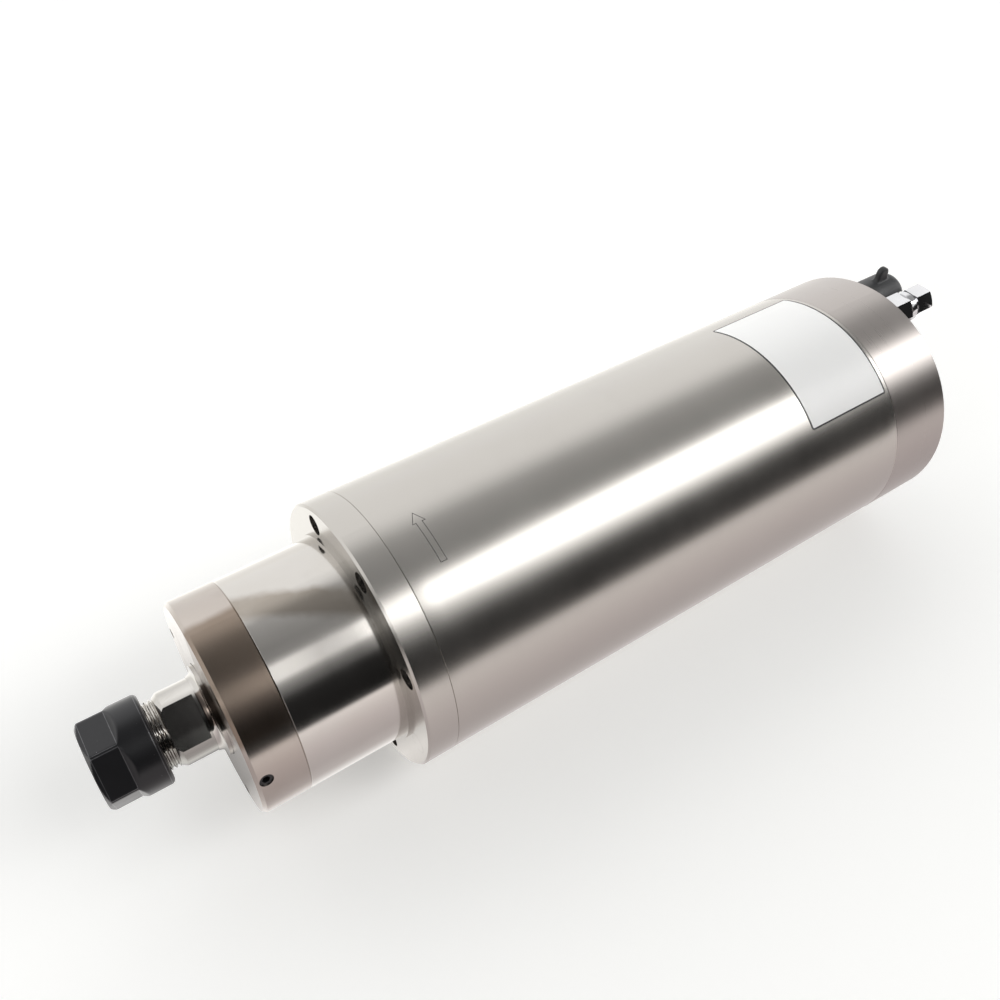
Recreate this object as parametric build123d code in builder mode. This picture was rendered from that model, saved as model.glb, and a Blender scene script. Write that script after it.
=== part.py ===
from build123d import *
import math
import os

os.makedirs("parts", exist_ok=True)

# Water-cooled motor spindle with a collet nose, lying along X: nose at -X, rear cap at +X, +Z up.
# x = 0 is the shoulder where the slim nose meets the round body. All sizes are millimetres.

# Body and nose
body_od = 105.0
nose_od = 80.0
nose_length = 55.5
front_cap_length = 17.5
flange_thickness = 12.0
jacket_length = 219.2
jacket_wall = 3.5
sleeve_wall = 8.0
rear_cap_length = 31.2
rear_cap_wall = 6.0
rear_cap_skirt = 3.5
rim_chamfer = 1.2
cap_lip = 2.4
cap_inner_wall = 3.0
shoulder_chamfer = 0.8
seam_chamfer = 0.25
root_lip_width = 1.5
root_lip_height = 1.2

# Clearances
seat_gap = 0.02
thread_gap = 0.1
run_gap = 0.3
bore_run_gap = 0.08
hose_gap = 0.1
screw_end_gap = 1.0

# Shaft nose, collet socket and collet nut
shaft_land_od = 27.2
shaft_thread_od = 25.0
land_length = 14.5
land_taper = 1.7
flat_width = 22.0
flat_length = 11.5
flat_start = 4.6
flat_angle = 129.0
socket_relief_od = 12.8
socket_relief_end = 17.5
slinger_od = 34.0
slinger_proud = 1.3
slinger_cove = 2.4
slinger_edge = 0.3
slinger_width = 4.0
socket_half_angle = 8.0
collet_length = 31.5
collet_od = 21.0
collet_bore = 6.0
collet_front_flat = 17.2
collet_front_angle = 30.0
collet_neck_od = 18.4
collet_neck_width = 2.0
collet_slots = 8
collet_slot_width = 0.6
collet_slot_share = 0.82
collet_stand = 0.5
nut_od = 33.0
nut_hex = 29.0
nut_length = 21.4
nut_setback = 20.1
nut_hex_length = 10.2
nut_corner_angle = 115.0
nut_mouth = 17.8
nut_face_depth = 0.8
nut_rear_round = 1.3
nut_front_chamfer = 1.4
nut_front_slope = 1.6

# Bearings and what locates them
front_bore = 30.0
front_bearing_od = 62.0
front_bearing_width = 16.0
front_ball = 9.4
rear_bore = 25.0
rear_bearing_od = 52.0
rear_bearing_width = 15.0
rear_ball = 7.9
balls_per_bearing = 9
ring_share = 0.27
cage_share = 0.24
cage_width_share = 0.7
pocket_gap = 0.15
spacer_length = 6.0
cap_spigot = 4.0
locknut_od = 42.0
locknut_width = 8.0
locknut_slot = 4.0
rear_locknut_width = 7.0
rear_locknut_wall = 5.2
shaft_tail = 3.0
shaft_chamfer = 1.0
collar_step = 1.0
spigot_wall = 3.0
housing_spigot = 8.0
housing_land_bore = 54.0
disc_spring_height = 1.5
disc_spring_thickness = 0.7

# Motor
rotor_seat_od = 29.0
rotor_od = 49.4
air_gap = 0.5
core_length = 110.0
core_start = 58.0
end_turn_length = 22.0
stator_slots = 24
slot_width = 4.2
slot_mouth = 1.8
core_back = 5.6
tooth_lip = 1.2
winding_gap = 0.15
winding_reach = 1.0
rotor_bars = 18
rotor_bar_od = 3.4
end_ring_width = 8.0
end_ring_bore = 32.0
end_ring_step = 0.5
bar_cover = 1.0
bar_root = 1.0
end_turn_round = 3.0
end_turn_inset = 1.0
end_turn_bulge = 2.5

# Cooling sleeve
channel_count = 10
channel_width = 9.0
channel_depth = 4.0
channel_pitch = 15.6
channel_start = 38.0
water_rib = 8.0
gate_width = 9.0
water_bore = 3.0
water_bore_inset = 4.4
water_tube_od = 4.6
water_tube_seat = 4.0
water_tube_run = 2.5
water_tube_radius = 4.5
sleeve_seal_inset = 15.0

# Rear bearing housing and cover
rear_housing_flange = 6.0
rear_housing_depth = 21.0
rear_housing_chamfer = 3.0
rear_land_step = 5.0
spring_bore_step = 1.2
cover_flange_step = 8.0
cover_flange_width = 3.0
wire_hole = 13.0
wire_hole_step = 7.5
oring_section = 2.4
oring_squash = 0.8

# Screws
screw_od = 4.0
screw_hole = 4.4
screw_head_od = 7.0
screw_head_height = 4.0
screw_recess_od = 7.8
screw_key = 3.0
screw_key_share = 0.55
flange_screw_count = 8
flange_screw_inset = 6.8
flange_screw_angle = 62.5
flange_screw_sink = 6.5
flange_screw_length = 18.0
rear_screw_count = 4
rear_screw_inset = 8.5
rear_screw_angle = 45.0
rear_screw_sink = 4.8
rear_screw_bite = 5.0
rear_boss_od = 12.0
housing_screw_count = 6
housing_screw_inset = 7.5
housing_screw_angle = 0.0
housing_screw_length = 14.0
cover_screw_count = 3
cover_screw_step = 4.0
cover_screw_angle = 90.0
cover_screw_length = 8.0
spanner_hole = 4.0
spanner_hole_depth = 5.0
spanner_hole_count = 3
spanner_inset = 4.0
spanner_angle = 5.0
port_thread = 4.9
port_depth = 8.0
port_drill = 2.0
port_screw_length = 6.0
port_screw_sink = 0.5
port_key = 2.5
port_angle = 171.0
port_behind_face = 3.6

# Rear fittings: two hose fittings, one under a rubber cap, and the power socket
outlet_inset = 10.5
outlet_angle = 97.938
inlet_inset = 15.7
inlet_angle = 69.646
fitting_hex = 13.0
fitting_hex_length = 12.0
fitting_collar_od = 14.0
fitting_collar_length = 3.0
fitting_thread_od = 9.6
fitting_thread_length = 9.0
fitting_stub_od = 9.0
fitting_stub_length = 8.0
fitting_bore = 4.0
hose_od = 6.0
hose_depth = 12.0
fitting_boss_od = 17.0
fitting_boss_length = 11.0
fitting_nut_hex = 12.0
fitting_nut_length = 9.0
fitting_nut_gap = 2.0
fitting_nut_end_od = 12.0
fitting_nut_bevel = 60.0
ferrule_length = 3.0
ferrule_lip = 1.0
ferrule_wall = 0.9
dust_cap_od = 19.4
dust_cap_wall = 1.7
dust_cap_length = 28.0
dust_cap_start = 3.0
dust_cap_round = 6.0
dust_tab_width = 5.6
dust_tab_flare = 3.4
dust_tab_thickness = 3.0
dust_tab_height = 6.2
dust_tab_start = 17.0
socket_spot = (0.0, -14.0)
socket_flange = 33.0
socket_flange_thickness = 3.0
socket_corner = 4.0
socket_od = 28.0
socket_wall = 1.8
socket_length = 17.0
socket_tail = 7.0
socket_floor = 4.0
socket_screw_spacing = 26.0
socket_screw_od = 3.0
socket_screw_head_od = 5.6
socket_screw_head_height = 1.8
socket_screw_length = 6.0
gasket_thickness = 1.0
pin_count = 4
pin_od = 2.4
pin_circle = 12.0
pin_reach = 9.0
pin_tail = 3.0
socket_screw_key = 2.0
key_width = 3.0
key_height = 1.2
lead_od = 2.2
lead_spread = 3.0
lead_gap = 0.15
lead_radius = 3.6
lead_run = 5.0

# Stations along the axis
nose_face = -nose_length
cap_rear = nose_face + front_cap_length
bearing_1 = cap_rear + cap_spigot
spacer_front = bearing_1 + front_bearing_width
bearing_2 = spacer_front + spacer_length
front_land = bearing_2 + front_bearing_width
locknut_rear = front_land + locknut_width
spigot_rear = flange_thickness + housing_spigot
jacket_rear = flange_thickness + jacket_length
rear_face = jacket_rear + rear_cap_length
core_end = core_start + core_length
collar_front = nose_face - slinger_proud + slinger_width
sleeve_rear = jacket_rear - rear_housing_flange
housing_front = jacket_rear - rear_housing_depth - rear_housing_flange
rear_bearing_rear = jacket_rear - rear_housing_flange
rear_bearing = rear_bearing_rear - rear_bearing_width
spring_front = rear_bearing - 2 * disc_spring_height
shaft_rear = rear_bearing_rear + rear_locknut_width + shaft_tail
nut_rear = nose_face - nut_setback
nut_front = nut_rear - nut_length
cap_wall_front = rear_face - rear_cap_wall
boss_front = cap_wall_front - fitting_boss_length

# Radii
body_r = body_od / 2
nose_r = nose_od / 2
jacket_bore_r = body_r - jacket_wall
sleeve_bore_r = jacket_bore_r - sleeve_wall
front_seat_r = front_bearing_od / 2
barrel_seat_r = sleeve_bore_r - spigot_wall
rear_seat_r = rear_bearing_od / 2
rear_land_r = rear_seat_r - rear_land_step
rear_locknut_r = rear_bore / 2 + rear_locknut_wall
cover_bore_r = rear_locknut_r + run_gap
cover_flange_r = rear_seat_r + cover_flange_step
wire_hole_radius = rear_seat_r + wire_hole_step
shaft_r = front_bore / 2
land_r = shaft_land_od / 2
thread_r = shaft_thread_od / 2
rotor_r = rotor_od / 2
rotor_seat_r = rotor_seat_od / 2
stator_bore_r = rotor_r + air_gap
slinger_r = slinger_od / 2
collar_r = slinger_r + collar_step
nut_r = nut_od / 2
taper = math.tan(math.radians(socket_half_angle))


def turn(corners, mode=Mode.ADD):
    # Turned form: a closed outline of (x, radius) corners swept round the spindle axis.
    with BuildSketch(Plane.XZ) as outline:
        with BuildLine():
            Polyline(*corners, close=True)
        make_face()
    revolve(outline.sketch, axis=Axis.X, mode=mode)


def ring(front, rear, inner, outer, mode=Mode.ADD):
    # Plain turned ring between two stations and two radii.
    turn([(front, inner), (rear, inner), (rear, outer), (front, outer)], mode)


def polar_spots(radius, count, start):
    # Points (y, z) evenly spaced on a pitch circle, the first at the start angle.
    step = 360 / count
    angles = [math.radians(start + step * i) for i in range(count)]
    return [(radius * math.cos(a), radius * math.sin(a)) for a in angles]


def polar_spot(radius, angle):
    return polar_spots(radius, 1, angle)[0]


def along_x(station, facing=1):
    # Drawing plane square to the axis: its normal points to the rear, or to the nose if facing is -1.
    return Plane(origin=(station, 0, 0), x_dir=(0, facing, 0), z_dir=(facing, 0, 0))


def rods(station, length, spots, diameter, mode=Mode.ADD):
    # Round rods or holes along the axis, one at each (y, z) spot, from a station towards the rear.
    with BuildSketch(along_x(station)) as ends:
        with Locations(*spots):
            Circle(diameter / 2)
    extrude(ends.sketch, amount=length, mode=mode)


def hexes(station, length, spots, across_flats, mode=Mode.ADD, rotation=0):
    # Hexagonal bars or sockets along the axis, from a station towards the rear.
    with BuildSketch(along_x(station)) as ends:
        with Locations(*spots):
            RegularPolygon(across_flats / 2, 6, major_radius=False, rotation=rotation)
    extrude(ends.sketch, amount=length, mode=mode)


def cap_screws(head_top, direction, spots, length):
    # Socket head screws: direction 1 drives them to the rear, -1 to the nose.
    head = min(head_top, head_top + direction * screw_head_height)
    shank = head + screw_head_height if direction > 0 else head - length
    key_depth = screw_head_height * screw_key_share
    key = head if direction > 0 else head + screw_head_height - key_depth
    rods(head, screw_head_height, spots, screw_head_od)
    rods(shank, length, spots, screw_od)
    hexes(key, key_depth, spots, screw_key, Mode.SUBTRACT)


def race_sizes(bore, od):
    # Radii of a ball bearing: inner ring outside, ball centres, outer ring inside.
    depth = (od - bore) / 2
    return bore / 2 + depth * ring_share, (od + bore) / 4, od / 2 - depth * ring_share


def inner_race(front, width, bore, od, ball):
    race_r, ball_r, _ = race_sizes(bore, od)
    ring(front, front + width, bore / 2 + seat_gap, race_r)
    with BuildSketch(Plane.XZ) as groove:
        with Locations((front + width / 2, ball_r)):
            Circle(ball / 2 + bore_run_gap)
    revolve(groove.sketch, axis=Axis.X, mode=Mode.SUBTRACT)


def outer_race(front, width, bore, od, ball):
    _, ball_r, race_r = race_sizes(bore, od)
    ring(front, front + width, race_r, od / 2)
    with BuildSketch(Plane.XZ) as groove:
        with Locations((front + width / 2, ball_r)):
            Circle(ball / 2 + bore_run_gap)
    revolve(groove.sketch, axis=Axis.X, mode=Mode.SUBTRACT)


def ball_spots(front, width, bore, od):
    _, ball_r, _ = race_sizes(bore, od)
    return [(front + width / 2, y, z) for y, z in polar_spots(ball_r, balls_per_bearing, 0)]


def ball_cage(front, width, bore, od, ball):
    # Ring with a round pocket drilled through it for each ball.
    _, ball_r, _ = race_sizes(bore, od)
    middle = front + width / 2
    half_width = width * cage_width_share / 2
    half_wall = (od - bore) / 2 * cage_share / 2
    ring(middle - half_width, middle + half_width, ball_r - half_wall, ball_r + half_wall)
    for i in range(balls_per_bearing):
        angle = math.radians(360 / balls_per_bearing * i)
        pocket = Plane(origin=(middle, 0, 0), x_dir=(1, 0, 0), z_dir=(0, math.cos(angle), math.sin(angle)))
        with BuildSketch(pocket) as opening:
            Circle(ball / 2 + pocket_gap)
        extrude(opening.sketch, amount=od / 2, mode=Mode.SUBTRACT)


def seal_groove(front, outer):
    # Groove for a round rubber ring in an outside face.
    ring(front, front + oring_section, outer - oring_section * oring_squash, outer + oring_section, Mode.SUBTRACT)


def seal_ring(front, outer):
    # Rubber ring in its groove, squeezed a little flat.
    section = oring_section * oring_squash - 2 * seat_gap
    with BuildSketch(Plane.XZ) as seal:
        with Locations((front + oring_section / 2, outer - oring_section * oring_squash / 2 - seat_gap)):
            RectangleRounded(oring_section - 2 * seat_gap, section, section / 3)
    revolve(seal.sketch, axis=Axis.X)


# Front bearing housing: the nose barrel, seated in the body flange against its lip
with BuildPart() as bearing_housing:
    turn([
        (cap_rear, front_seat_r + seat_gap),
        (cap_rear, nose_r - seam_chamfer),
        (cap_rear + seam_chamfer, nose_r),
        (-root_lip_width, nose_r),
        (-root_lip_width, barrel_seat_r - seat_gap),
        (spigot_rear, barrel_seat_r - seat_gap),
        (spigot_rear, housing_land_bore / 2),
        (front_land, housing_land_bore / 2),
        (front_land, front_seat_r + seat_gap),
    ])
bearing_housing.part.label = "bearing_housing"
export_step(bearing_housing.part, "parts/bearing_housing.step")

# Body flange: the shoulder ring with a lip round the nose's root; it carries the barrel
flange_spots = polar_spots(body_r - flange_screw_inset, flange_screw_count, flange_screw_angle)
with BuildPart() as body_flange:
    turn([
        (-root_lip_width, barrel_seat_r),
        (-root_lip_width, nose_r + root_lip_height),
        (0, nose_r + root_lip_height),
        (0, body_r - shoulder_chamfer),
        (shoulder_chamfer, body_r),
        (flange_thickness - seam_chamfer, body_r),
        (flange_thickness, body_r - seam_chamfer),
        (flange_thickness, sleeve_bore_r - seat_gap),
        (spigot_rear, sleeve_bore_r - seat_gap),
        (spigot_rear, barrel_seat_r),
    ])
    rods(0, flange_screw_sink, flange_spots, screw_recess_od, Mode.SUBTRACT)
    rods(0, flange_thickness, flange_spots, screw_hole, Mode.SUBTRACT)
    seal_groove(spigot_rear - 2 * oring_section, sleeve_bore_r)
body_flange.part.label = "body_flange"
export_step(body_flange.part, "parts/body_flange.step")

# Front cap: screwed into the barrel with a pin spanner, it clamps the outer rings
spanner_spots = polar_spots(nose_r - spanner_inset, spanner_hole_count, spanner_angle)
port_plane = Plane(origin=(nose_face + port_behind_face, 0, 0),
                   x_dir=(1, 0, 0),
                   z_dir=(0, math.cos(math.radians(port_angle)), math.sin(math.radians(port_angle))))
with BuildPart() as front_cap:
    turn([
        (nose_face, slinger_r + run_gap),
        (nose_face, nose_r - rim_chamfer),
        (nose_face + rim_chamfer, nose_r),
        (cap_rear - seam_chamfer, nose_r),
        (cap_rear, nose_r - seam_chamfer),
        (cap_rear, front_seat_r),
        (bearing_1, front_seat_r),
        (bearing_1, housing_land_bore / 2),
        (cap_rear - cap_inner_wall, housing_land_bore / 2),
        (cap_rear - cap_inner_wall, collar_r + run_gap),
        (nose_face + cap_lip, collar_r + run_gap),
        (nose_face + cap_lip, slinger_r + run_gap),
    ])
    rods(nose_face, spanner_hole_depth, spanner_spots, spanner_hole, Mode.SUBTRACT)
    with BuildSketch(port_plane.offset(nose_r - port_depth)):
        Circle(port_thread / 2 + seat_gap)
    extrude(amount=port_depth + 1, mode=Mode.SUBTRACT)
    with BuildSketch(port_plane.offset(slinger_r)):
        Circle(port_drill / 2)
    extrude(amount=nose_r - slinger_r, mode=Mode.SUBTRACT)
front_cap.part.label = "front_cap"
export_step(front_cap.part, "parts/front_cap.step")

# Grub screw that closes the radial grease port
with BuildPart() as port_screw:
    with BuildSketch(port_plane.offset(nose_r - port_screw_sink - port_screw_length)):
        Circle(port_thread / 2)
    extrude(amount=port_screw_length)
    with BuildSketch(port_plane.offset(nose_r - port_screw_sink)):
        RegularPolygon(port_key / 2, 6, major_radius=False)
    extrude(amount=-port_screw_length / 2, mode=Mode.SUBTRACT)
port_screw.part.label = "port_screw"
export_step(port_screw.part, "parts/port_screw.step")

# Screws sunk in the shoulder, holding the front housing to the cooling sleeve
flange_head_top = flange_screw_sink - screw_head_height
with BuildPart() as flange_screws:
    cap_screws(flange_head_top, 1, flange_spots, flange_screw_length)
flange_screws.part.label = "flange_screws"
export_step(flange_screws.part, "parts/flange_screws.step")

# Outer jacket: thin polished tube over the water channels
with BuildPart() as outer_jacket:
    turn([
        (flange_thickness, jacket_bore_r),
        (flange_thickness, body_r - seam_chamfer),
        (flange_thickness + seam_chamfer, body_r),
        (jacket_rear - seam_chamfer, body_r),
        (jacket_rear, body_r - seam_chamfer),
        (jacket_rear, jacket_bore_r),
    ])
outer_jacket.part.label = "outer_jacket"
export_step(outer_jacket.part, "parts/outer_jacket.step")

# Cooling sleeve: holds the stator and carries the water in channels round its outside
rear_housing_spots = polar_spots(body_r - housing_screw_inset, housing_screw_count, housing_screw_angle)
sleeve_seals = (flange_thickness + sleeve_seal_inset, sleeve_rear - sleeve_seal_inset - oring_section)
channel_r = jacket_bore_r - channel_depth
last_channel = channel_start + (channel_count - 1) * channel_pitch
outlet_spot = polar_spot(body_r - outlet_inset, outlet_angle)
inlet_spot = polar_spot(body_r - inlet_inset, inlet_angle)
inlet_port = polar_spot(jacket_bore_r - water_bore_inset, inlet_angle)
outlet_port = polar_spot(jacket_bore_r - water_bore_inset, outlet_angle)
rib_plane = Plane(origin=(0, 0, 0),
                  x_dir=(1, 0, 0),
                  z_dir=(0, math.cos(math.radians(inlet_angle)), math.sin(math.radians(inlet_angle))))


def water_cut(front, length, offset, width):
    # Pocket milled down to the channels' floor, beside the rib by an offset round the sleeve.
    with BuildSketch(rib_plane.offset(channel_r)) as pocket:
        with Locations((front + length / 2, offset)):
            Rectangle(length, width)
    extrude(pocket.sketch, amount=channel_depth + jacket_wall, mode=Mode.SUBTRACT)


with BuildPart() as cooling_sleeve:
    ring(flange_thickness, sleeve_rear, sleeve_bore_r, jacket_bore_r - seat_gap)
    for front in sleeve_seals:
        seal_groove(front, jacket_bore_r)
    # Channels run round the sleeve from one side of a lengthwise rib to the other
    for i in range(channel_count):
        channel = channel_start + i * channel_pitch
        with BuildSketch(along_x(channel)) as channel_shape:
            Circle(body_r)
            Circle(channel_r, mode=Mode.SUBTRACT)
            with PolarLocations(0, 1, inlet_angle):
                Rectangle(body_r, water_rib, align=(Align.MIN, Align.CENTER), mode=Mode.SUBTRACT)
        extrude(channel_shape.sketch, amount=channel_width, mode=Mode.SUBTRACT)
    # Gates lead from each channel to the next, on the two sides of the rib in turn
    gate_offset = (water_rib + gate_width) / 2
    for i in range(channel_count - 1):
        side = -1 if i % 2 else 1
        land = channel_start + channel_width + i * channel_pitch
        water_cut(land, channel_pitch - channel_width, side * gate_offset, gate_width)
    # Water comes in through the rib to the first channel and leaves from the last
    water_cut(channel_start, channel_width, -water_rib / 4, water_rib / 2)
    rods(channel_start + channel_width / 2, sleeve_rear - channel_start - channel_width / 2, [inlet_port],
         water_bore, Mode.SUBTRACT)
    rods(last_channel + channel_width / 2, sleeve_rear - last_channel - channel_width / 2, [outlet_port],
         water_bore, Mode.SUBTRACT)
    rods(flange_thickness, flange_screw_length, flange_spots, screw_od + 2 * seat_gap, Mode.SUBTRACT)
    rods(sleeve_rear - housing_screw_length, housing_screw_length, rear_housing_spots,
         screw_od + 2 * seat_gap, Mode.SUBTRACT)
cooling_sleeve.part.label = "cooling_sleeve"
export_step(cooling_sleeve.part, "parts/cooling_sleeve.step")

# Stator core: laminated ring with slots that open into the bore
mouth_r = stator_bore_r + tooth_lip
slot_end_r = sleeve_bore_r - core_back
slot_depth = slot_end_r - mouth_r
with BuildPart() as stator_core:
    with BuildSketch(along_x(core_start)):
        Circle(sleeve_bore_r - seat_gap)
        Circle(stator_bore_r, mode=Mode.SUBTRACT)
        with PolarLocations(0, stator_slots):
            with Locations(((mouth_r + slot_end_r) / 2, 0)):
                Rectangle(slot_depth, slot_width, mode=Mode.SUBTRACT)
            with Locations((stator_bore_r, 0)):
                Rectangle(2 * tooth_lip + 1, slot_mouth, mode=Mode.SUBTRACT)
    extrude(amount=core_length)
stator_core.part.label = "stator_core"
export_step(stator_core.part, "parts/stator_core.step")

# Stator windings: copper in the slots and an end turn bundle at each end
turn_inner = mouth_r + end_turn_inset
turn_outer = slot_end_r + end_turn_bulge
with BuildPart() as stator_windings:
    with BuildSketch(along_x(core_start - winding_reach)):
        with PolarLocations(0, stator_slots):
            with Locations(((mouth_r + slot_end_r) / 2, 0)):
                Rectangle(slot_depth - 2 * winding_gap, slot_width - 2 * winding_gap)
    extrude(amount=core_length + 2 * winding_reach)
    for front in (core_start - end_turn_length, core_end + seat_gap):
        with BuildSketch(Plane.XZ) as bundle:
            with Locations((front + end_turn_length / 2, (turn_inner + turn_outer) / 2)):
                RectangleRounded(end_turn_length - 2 * seat_gap, turn_outer - turn_inner, end_turn_round)
        revolve(bundle.sketch, axis=Axis.X)
stator_windings.part.label = "stator_windings"
export_step(stator_windings.part, "parts/stator_windings.step")

# Spindle shaft: collet socket and thread at the nose, bearing seats and rotor seat behind
collet_front = nut_front + nut_face_depth
collet_head = collet_front + (collet_od - collet_front_flat) / 2 / math.tan(math.radians(collet_front_angle))
collet_shoulder = collet_head + collet_neck_width
collet_rear = collet_front + collet_length
shaft_front = collet_shoulder + collet_stand
socket_rear = collet_rear + collet_stand
relief_r = socket_relief_od / 2
relief_rear = nose_face + socket_relief_end


def collet_r(station):
    # Radius of the collet's long cone at a station.
    return collet_od / 2 - (station - collet_shoulder) * taper


land_front = nose_face - land_length
with BuildPart() as spindle_shaft:
    turn([
        (shaft_front, collet_r(shaft_front) + thread_gap),
        (shaft_front, thread_r - seam_chamfer),
        (shaft_front + 2 * seam_chamfer, thread_r),
        (land_front - land_taper, thread_r),
        (land_front, land_r),
        (collar_front, land_r),
        (collar_front, collar_r),
        (bearing_1, collar_r),
        (bearing_1, shaft_r),
        (locknut_rear, shaft_r),
        (locknut_rear, rotor_seat_r),
        (rear_bearing, rotor_seat_r),
        (rear_bearing, rear_bore / 2),
        (shaft_rear - shaft_chamfer, rear_bore / 2),
        (shaft_rear, rear_bore / 2 - shaft_chamfer),
        (shaft_rear, 0),
        (relief_rear + relief_r / 2, 0),
        (relief_rear, relief_r),
        (socket_rear, relief_r),
        (socket_rear, collet_r(socket_rear) + thread_gap),
    ])
    # Two wrench flats across the land
    flat_plane = Plane(origin=(nose_face - flat_start - flat_length, 0, 0),
                       x_dir=(1, 0, 0),
                       z_dir=(0, math.cos(math.radians(flat_angle)), math.sin(math.radians(flat_angle))))
    for side in (1, -1):
        with BuildSketch(flat_plane.offset(side * flat_width / 2)):
            Rectangle(flat_length, shaft_land_od, align=(Align.MIN, Align.CENTER))
        extrude(amount=side * shaft_land_od, mode=Mode.SUBTRACT)
spindle_shaft.part.label = "spindle_shaft"
export_step(spindle_shaft.part, "parts/spindle_shaft.step")

# Slinger ring: throws water off in front of the cap's labyrinth bore
with BuildPart() as slinger_ring:
    slinger_front = nose_face - slinger_proud
    neck_r = land_r + slinger_edge
    with BuildSketch(Plane.XZ):
        with BuildLine():
            CenterArc((slinger_front - slinger_cove, neck_r + slinger_cove), slinger_cove, -90, 90)
            Polyline((slinger_front, neck_r + slinger_cove), (slinger_front, slinger_r),
                     (collar_front, slinger_r), (collar_front, land_r + seat_gap),
                     (slinger_front - slinger_cove, land_r + seat_gap), (slinger_front - slinger_cove, neck_r))
        make_face()
    revolve(axis=Axis.X)
slinger_ring.part.label = "slinger_ring"
export_step(slinger_ring.part, "parts/slinger_ring.step")

# Front bearings: an angular contact pair with a spacer pair between them
front_bearings = (bearing_1, bearing_2)
with BuildPart() as front_inner_rings:
    for front in front_bearings:
        inner_race(front, front_bearing_width, front_bore, front_bearing_od, front_ball)
front_inner_rings.part.label = "front_inner_rings"
export_step(front_inner_rings.part, "parts/front_inner_rings.step")

with BuildPart() as front_outer_rings:
    for front in front_bearings:
        outer_race(front, front_bearing_width, front_bore, front_bearing_od, front_ball)
front_outer_rings.part.label = "front_outer_rings"
export_step(front_outer_rings.part, "parts/front_outer_rings.step")

with BuildPart() as front_balls:
    for front in front_bearings:
        with Locations(*ball_spots(front, front_bearing_width, front_bore, front_bearing_od)):
            Sphere(front_ball / 2 - seat_gap)
front_balls.part.label = "front_balls"
export_step(front_balls.part, "parts/front_balls.step")

with BuildPart() as front_cages:
    for front in front_bearings:
        ball_cage(front, front_bearing_width, front_bore, front_bearing_od, front_ball)
front_cages.part.label = "front_cages"
export_step(front_cages.part, "parts/front_cages.step")

front_race_inner_r, _, front_race_outer_r = race_sizes(front_bore, front_bearing_od)
with BuildPart() as inner_spacer:
    ring(spacer_front, bearing_2, shaft_r + seat_gap, front_race_inner_r)
inner_spacer.part.label = "inner_spacer"
export_step(inner_spacer.part, "parts/inner_spacer.step")

with BuildPart() as outer_spacer:
    ring(spacer_front, bearing_2, front_race_outer_r, front_seat_r)
outer_spacer.part.label = "outer_spacer"
export_step(outer_spacer.part, "parts/outer_spacer.step")

# Locknuts with four tool slots, one behind each bearing set

def locknut(front, width, bore, outside):
    ring(front, front + width, bore / 2 + seat_gap, outside / 2)
    with BuildSketch(along_x(front)) as slots:
        with PolarLocations(outside / 2, 4):
            Rectangle(locknut_slot, locknut_slot)
    extrude(slots.sketch, amount=width, mode=Mode.SUBTRACT)


with BuildPart() as front_locknut:
    locknut(front_land, locknut_width, front_bore, locknut_od)
front_locknut.part.label = "front_locknut"
export_step(front_locknut.part, "parts/front_locknut.step")

with BuildPart() as rear_locknut:
    locknut(rear_bearing_rear, rear_locknut_width, rear_bore, 2 * rear_locknut_r)
rear_locknut.part.label = "rear_locknut"
export_step(rear_locknut.part, "parts/rear_locknut.step")

# Rotor: laminated core with a cast cage of bars and end rings
bar_spots = polar_spots(rotor_r - bar_cover - rotor_bar_od / 2, rotor_bars, 0)
with BuildPart() as rotor_core:
    ring(core_start, core_end, rotor_seat_r + seat_gap, rotor_r)
    rods(core_start, core_length, bar_spots, rotor_bar_od + 2 * seat_gap, Mode.SUBTRACT)
rotor_core.part.label = "rotor_core"
export_step(rotor_core.part, "parts/rotor_core.step")

with BuildPart() as rotor_cage:
    for front in (core_start - end_ring_width, core_end):
        ring(front, front + end_ring_width, end_ring_bore / 2, rotor_r - end_ring_step)
    rods(core_start - bar_root, core_length + 2 * bar_root, bar_spots, rotor_bar_od)
rotor_cage.part.label = "rotor_cage"
export_step(rotor_cage.part, "parts/rotor_cage.step")

# Rear bearing, pushed forward by a pair of disc springs
with BuildPart() as rear_inner_ring:
    inner_race(rear_bearing, rear_bearing_width, rear_bore, rear_bearing_od, rear_ball)
rear_inner_ring.part.label = "rear_inner_ring"
export_step(rear_inner_ring.part, "parts/rear_inner_ring.step")

with BuildPart() as rear_outer_ring:
    outer_race(rear_bearing, rear_bearing_width, rear_bore, rear_bearing_od, rear_ball)
rear_outer_ring.part.label = "rear_outer_ring"
export_step(rear_outer_ring.part, "parts/rear_outer_ring.step")

with BuildPart() as rear_balls:
    with Locations(*ball_spots(rear_bearing, rear_bearing_width, rear_bore, rear_bearing_od)):
        Sphere(rear_ball / 2 - seat_gap)
rear_balls.part.label = "rear_balls"
export_step(rear_balls.part, "parts/rear_balls.step")

with BuildPart() as rear_ball_cage:
    ball_cage(rear_bearing, rear_bearing_width, rear_bore, rear_bearing_od, rear_ball)
rear_ball_cage.part.label = "rear_ball_cage"
export_step(rear_ball_cage.part, "parts/rear_ball_cage.step")

spring_inner = rear_land_r + spring_bore_step
spring_outer = rear_seat_r - run_gap
spring_middle = rear_bearing - disc_spring_height
with BuildPart() as preload_springs:
    turn([
        (spring_front, spring_inner),
        (spring_front + disc_spring_thickness, spring_inner),
        (spring_middle, spring_outer),
        (spring_middle - disc_spring_thickness, spring_outer),
    ])
    turn([
        (rear_bearing - disc_spring_thickness, spring_inner),
        (rear_bearing, spring_inner),
        (spring_middle + disc_spring_thickness, spring_outer),
        (spring_middle, spring_outer),
    ])
preload_springs.part.label = "preload_springs"
export_step(preload_springs.part, "parts/preload_springs.step")

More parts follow.
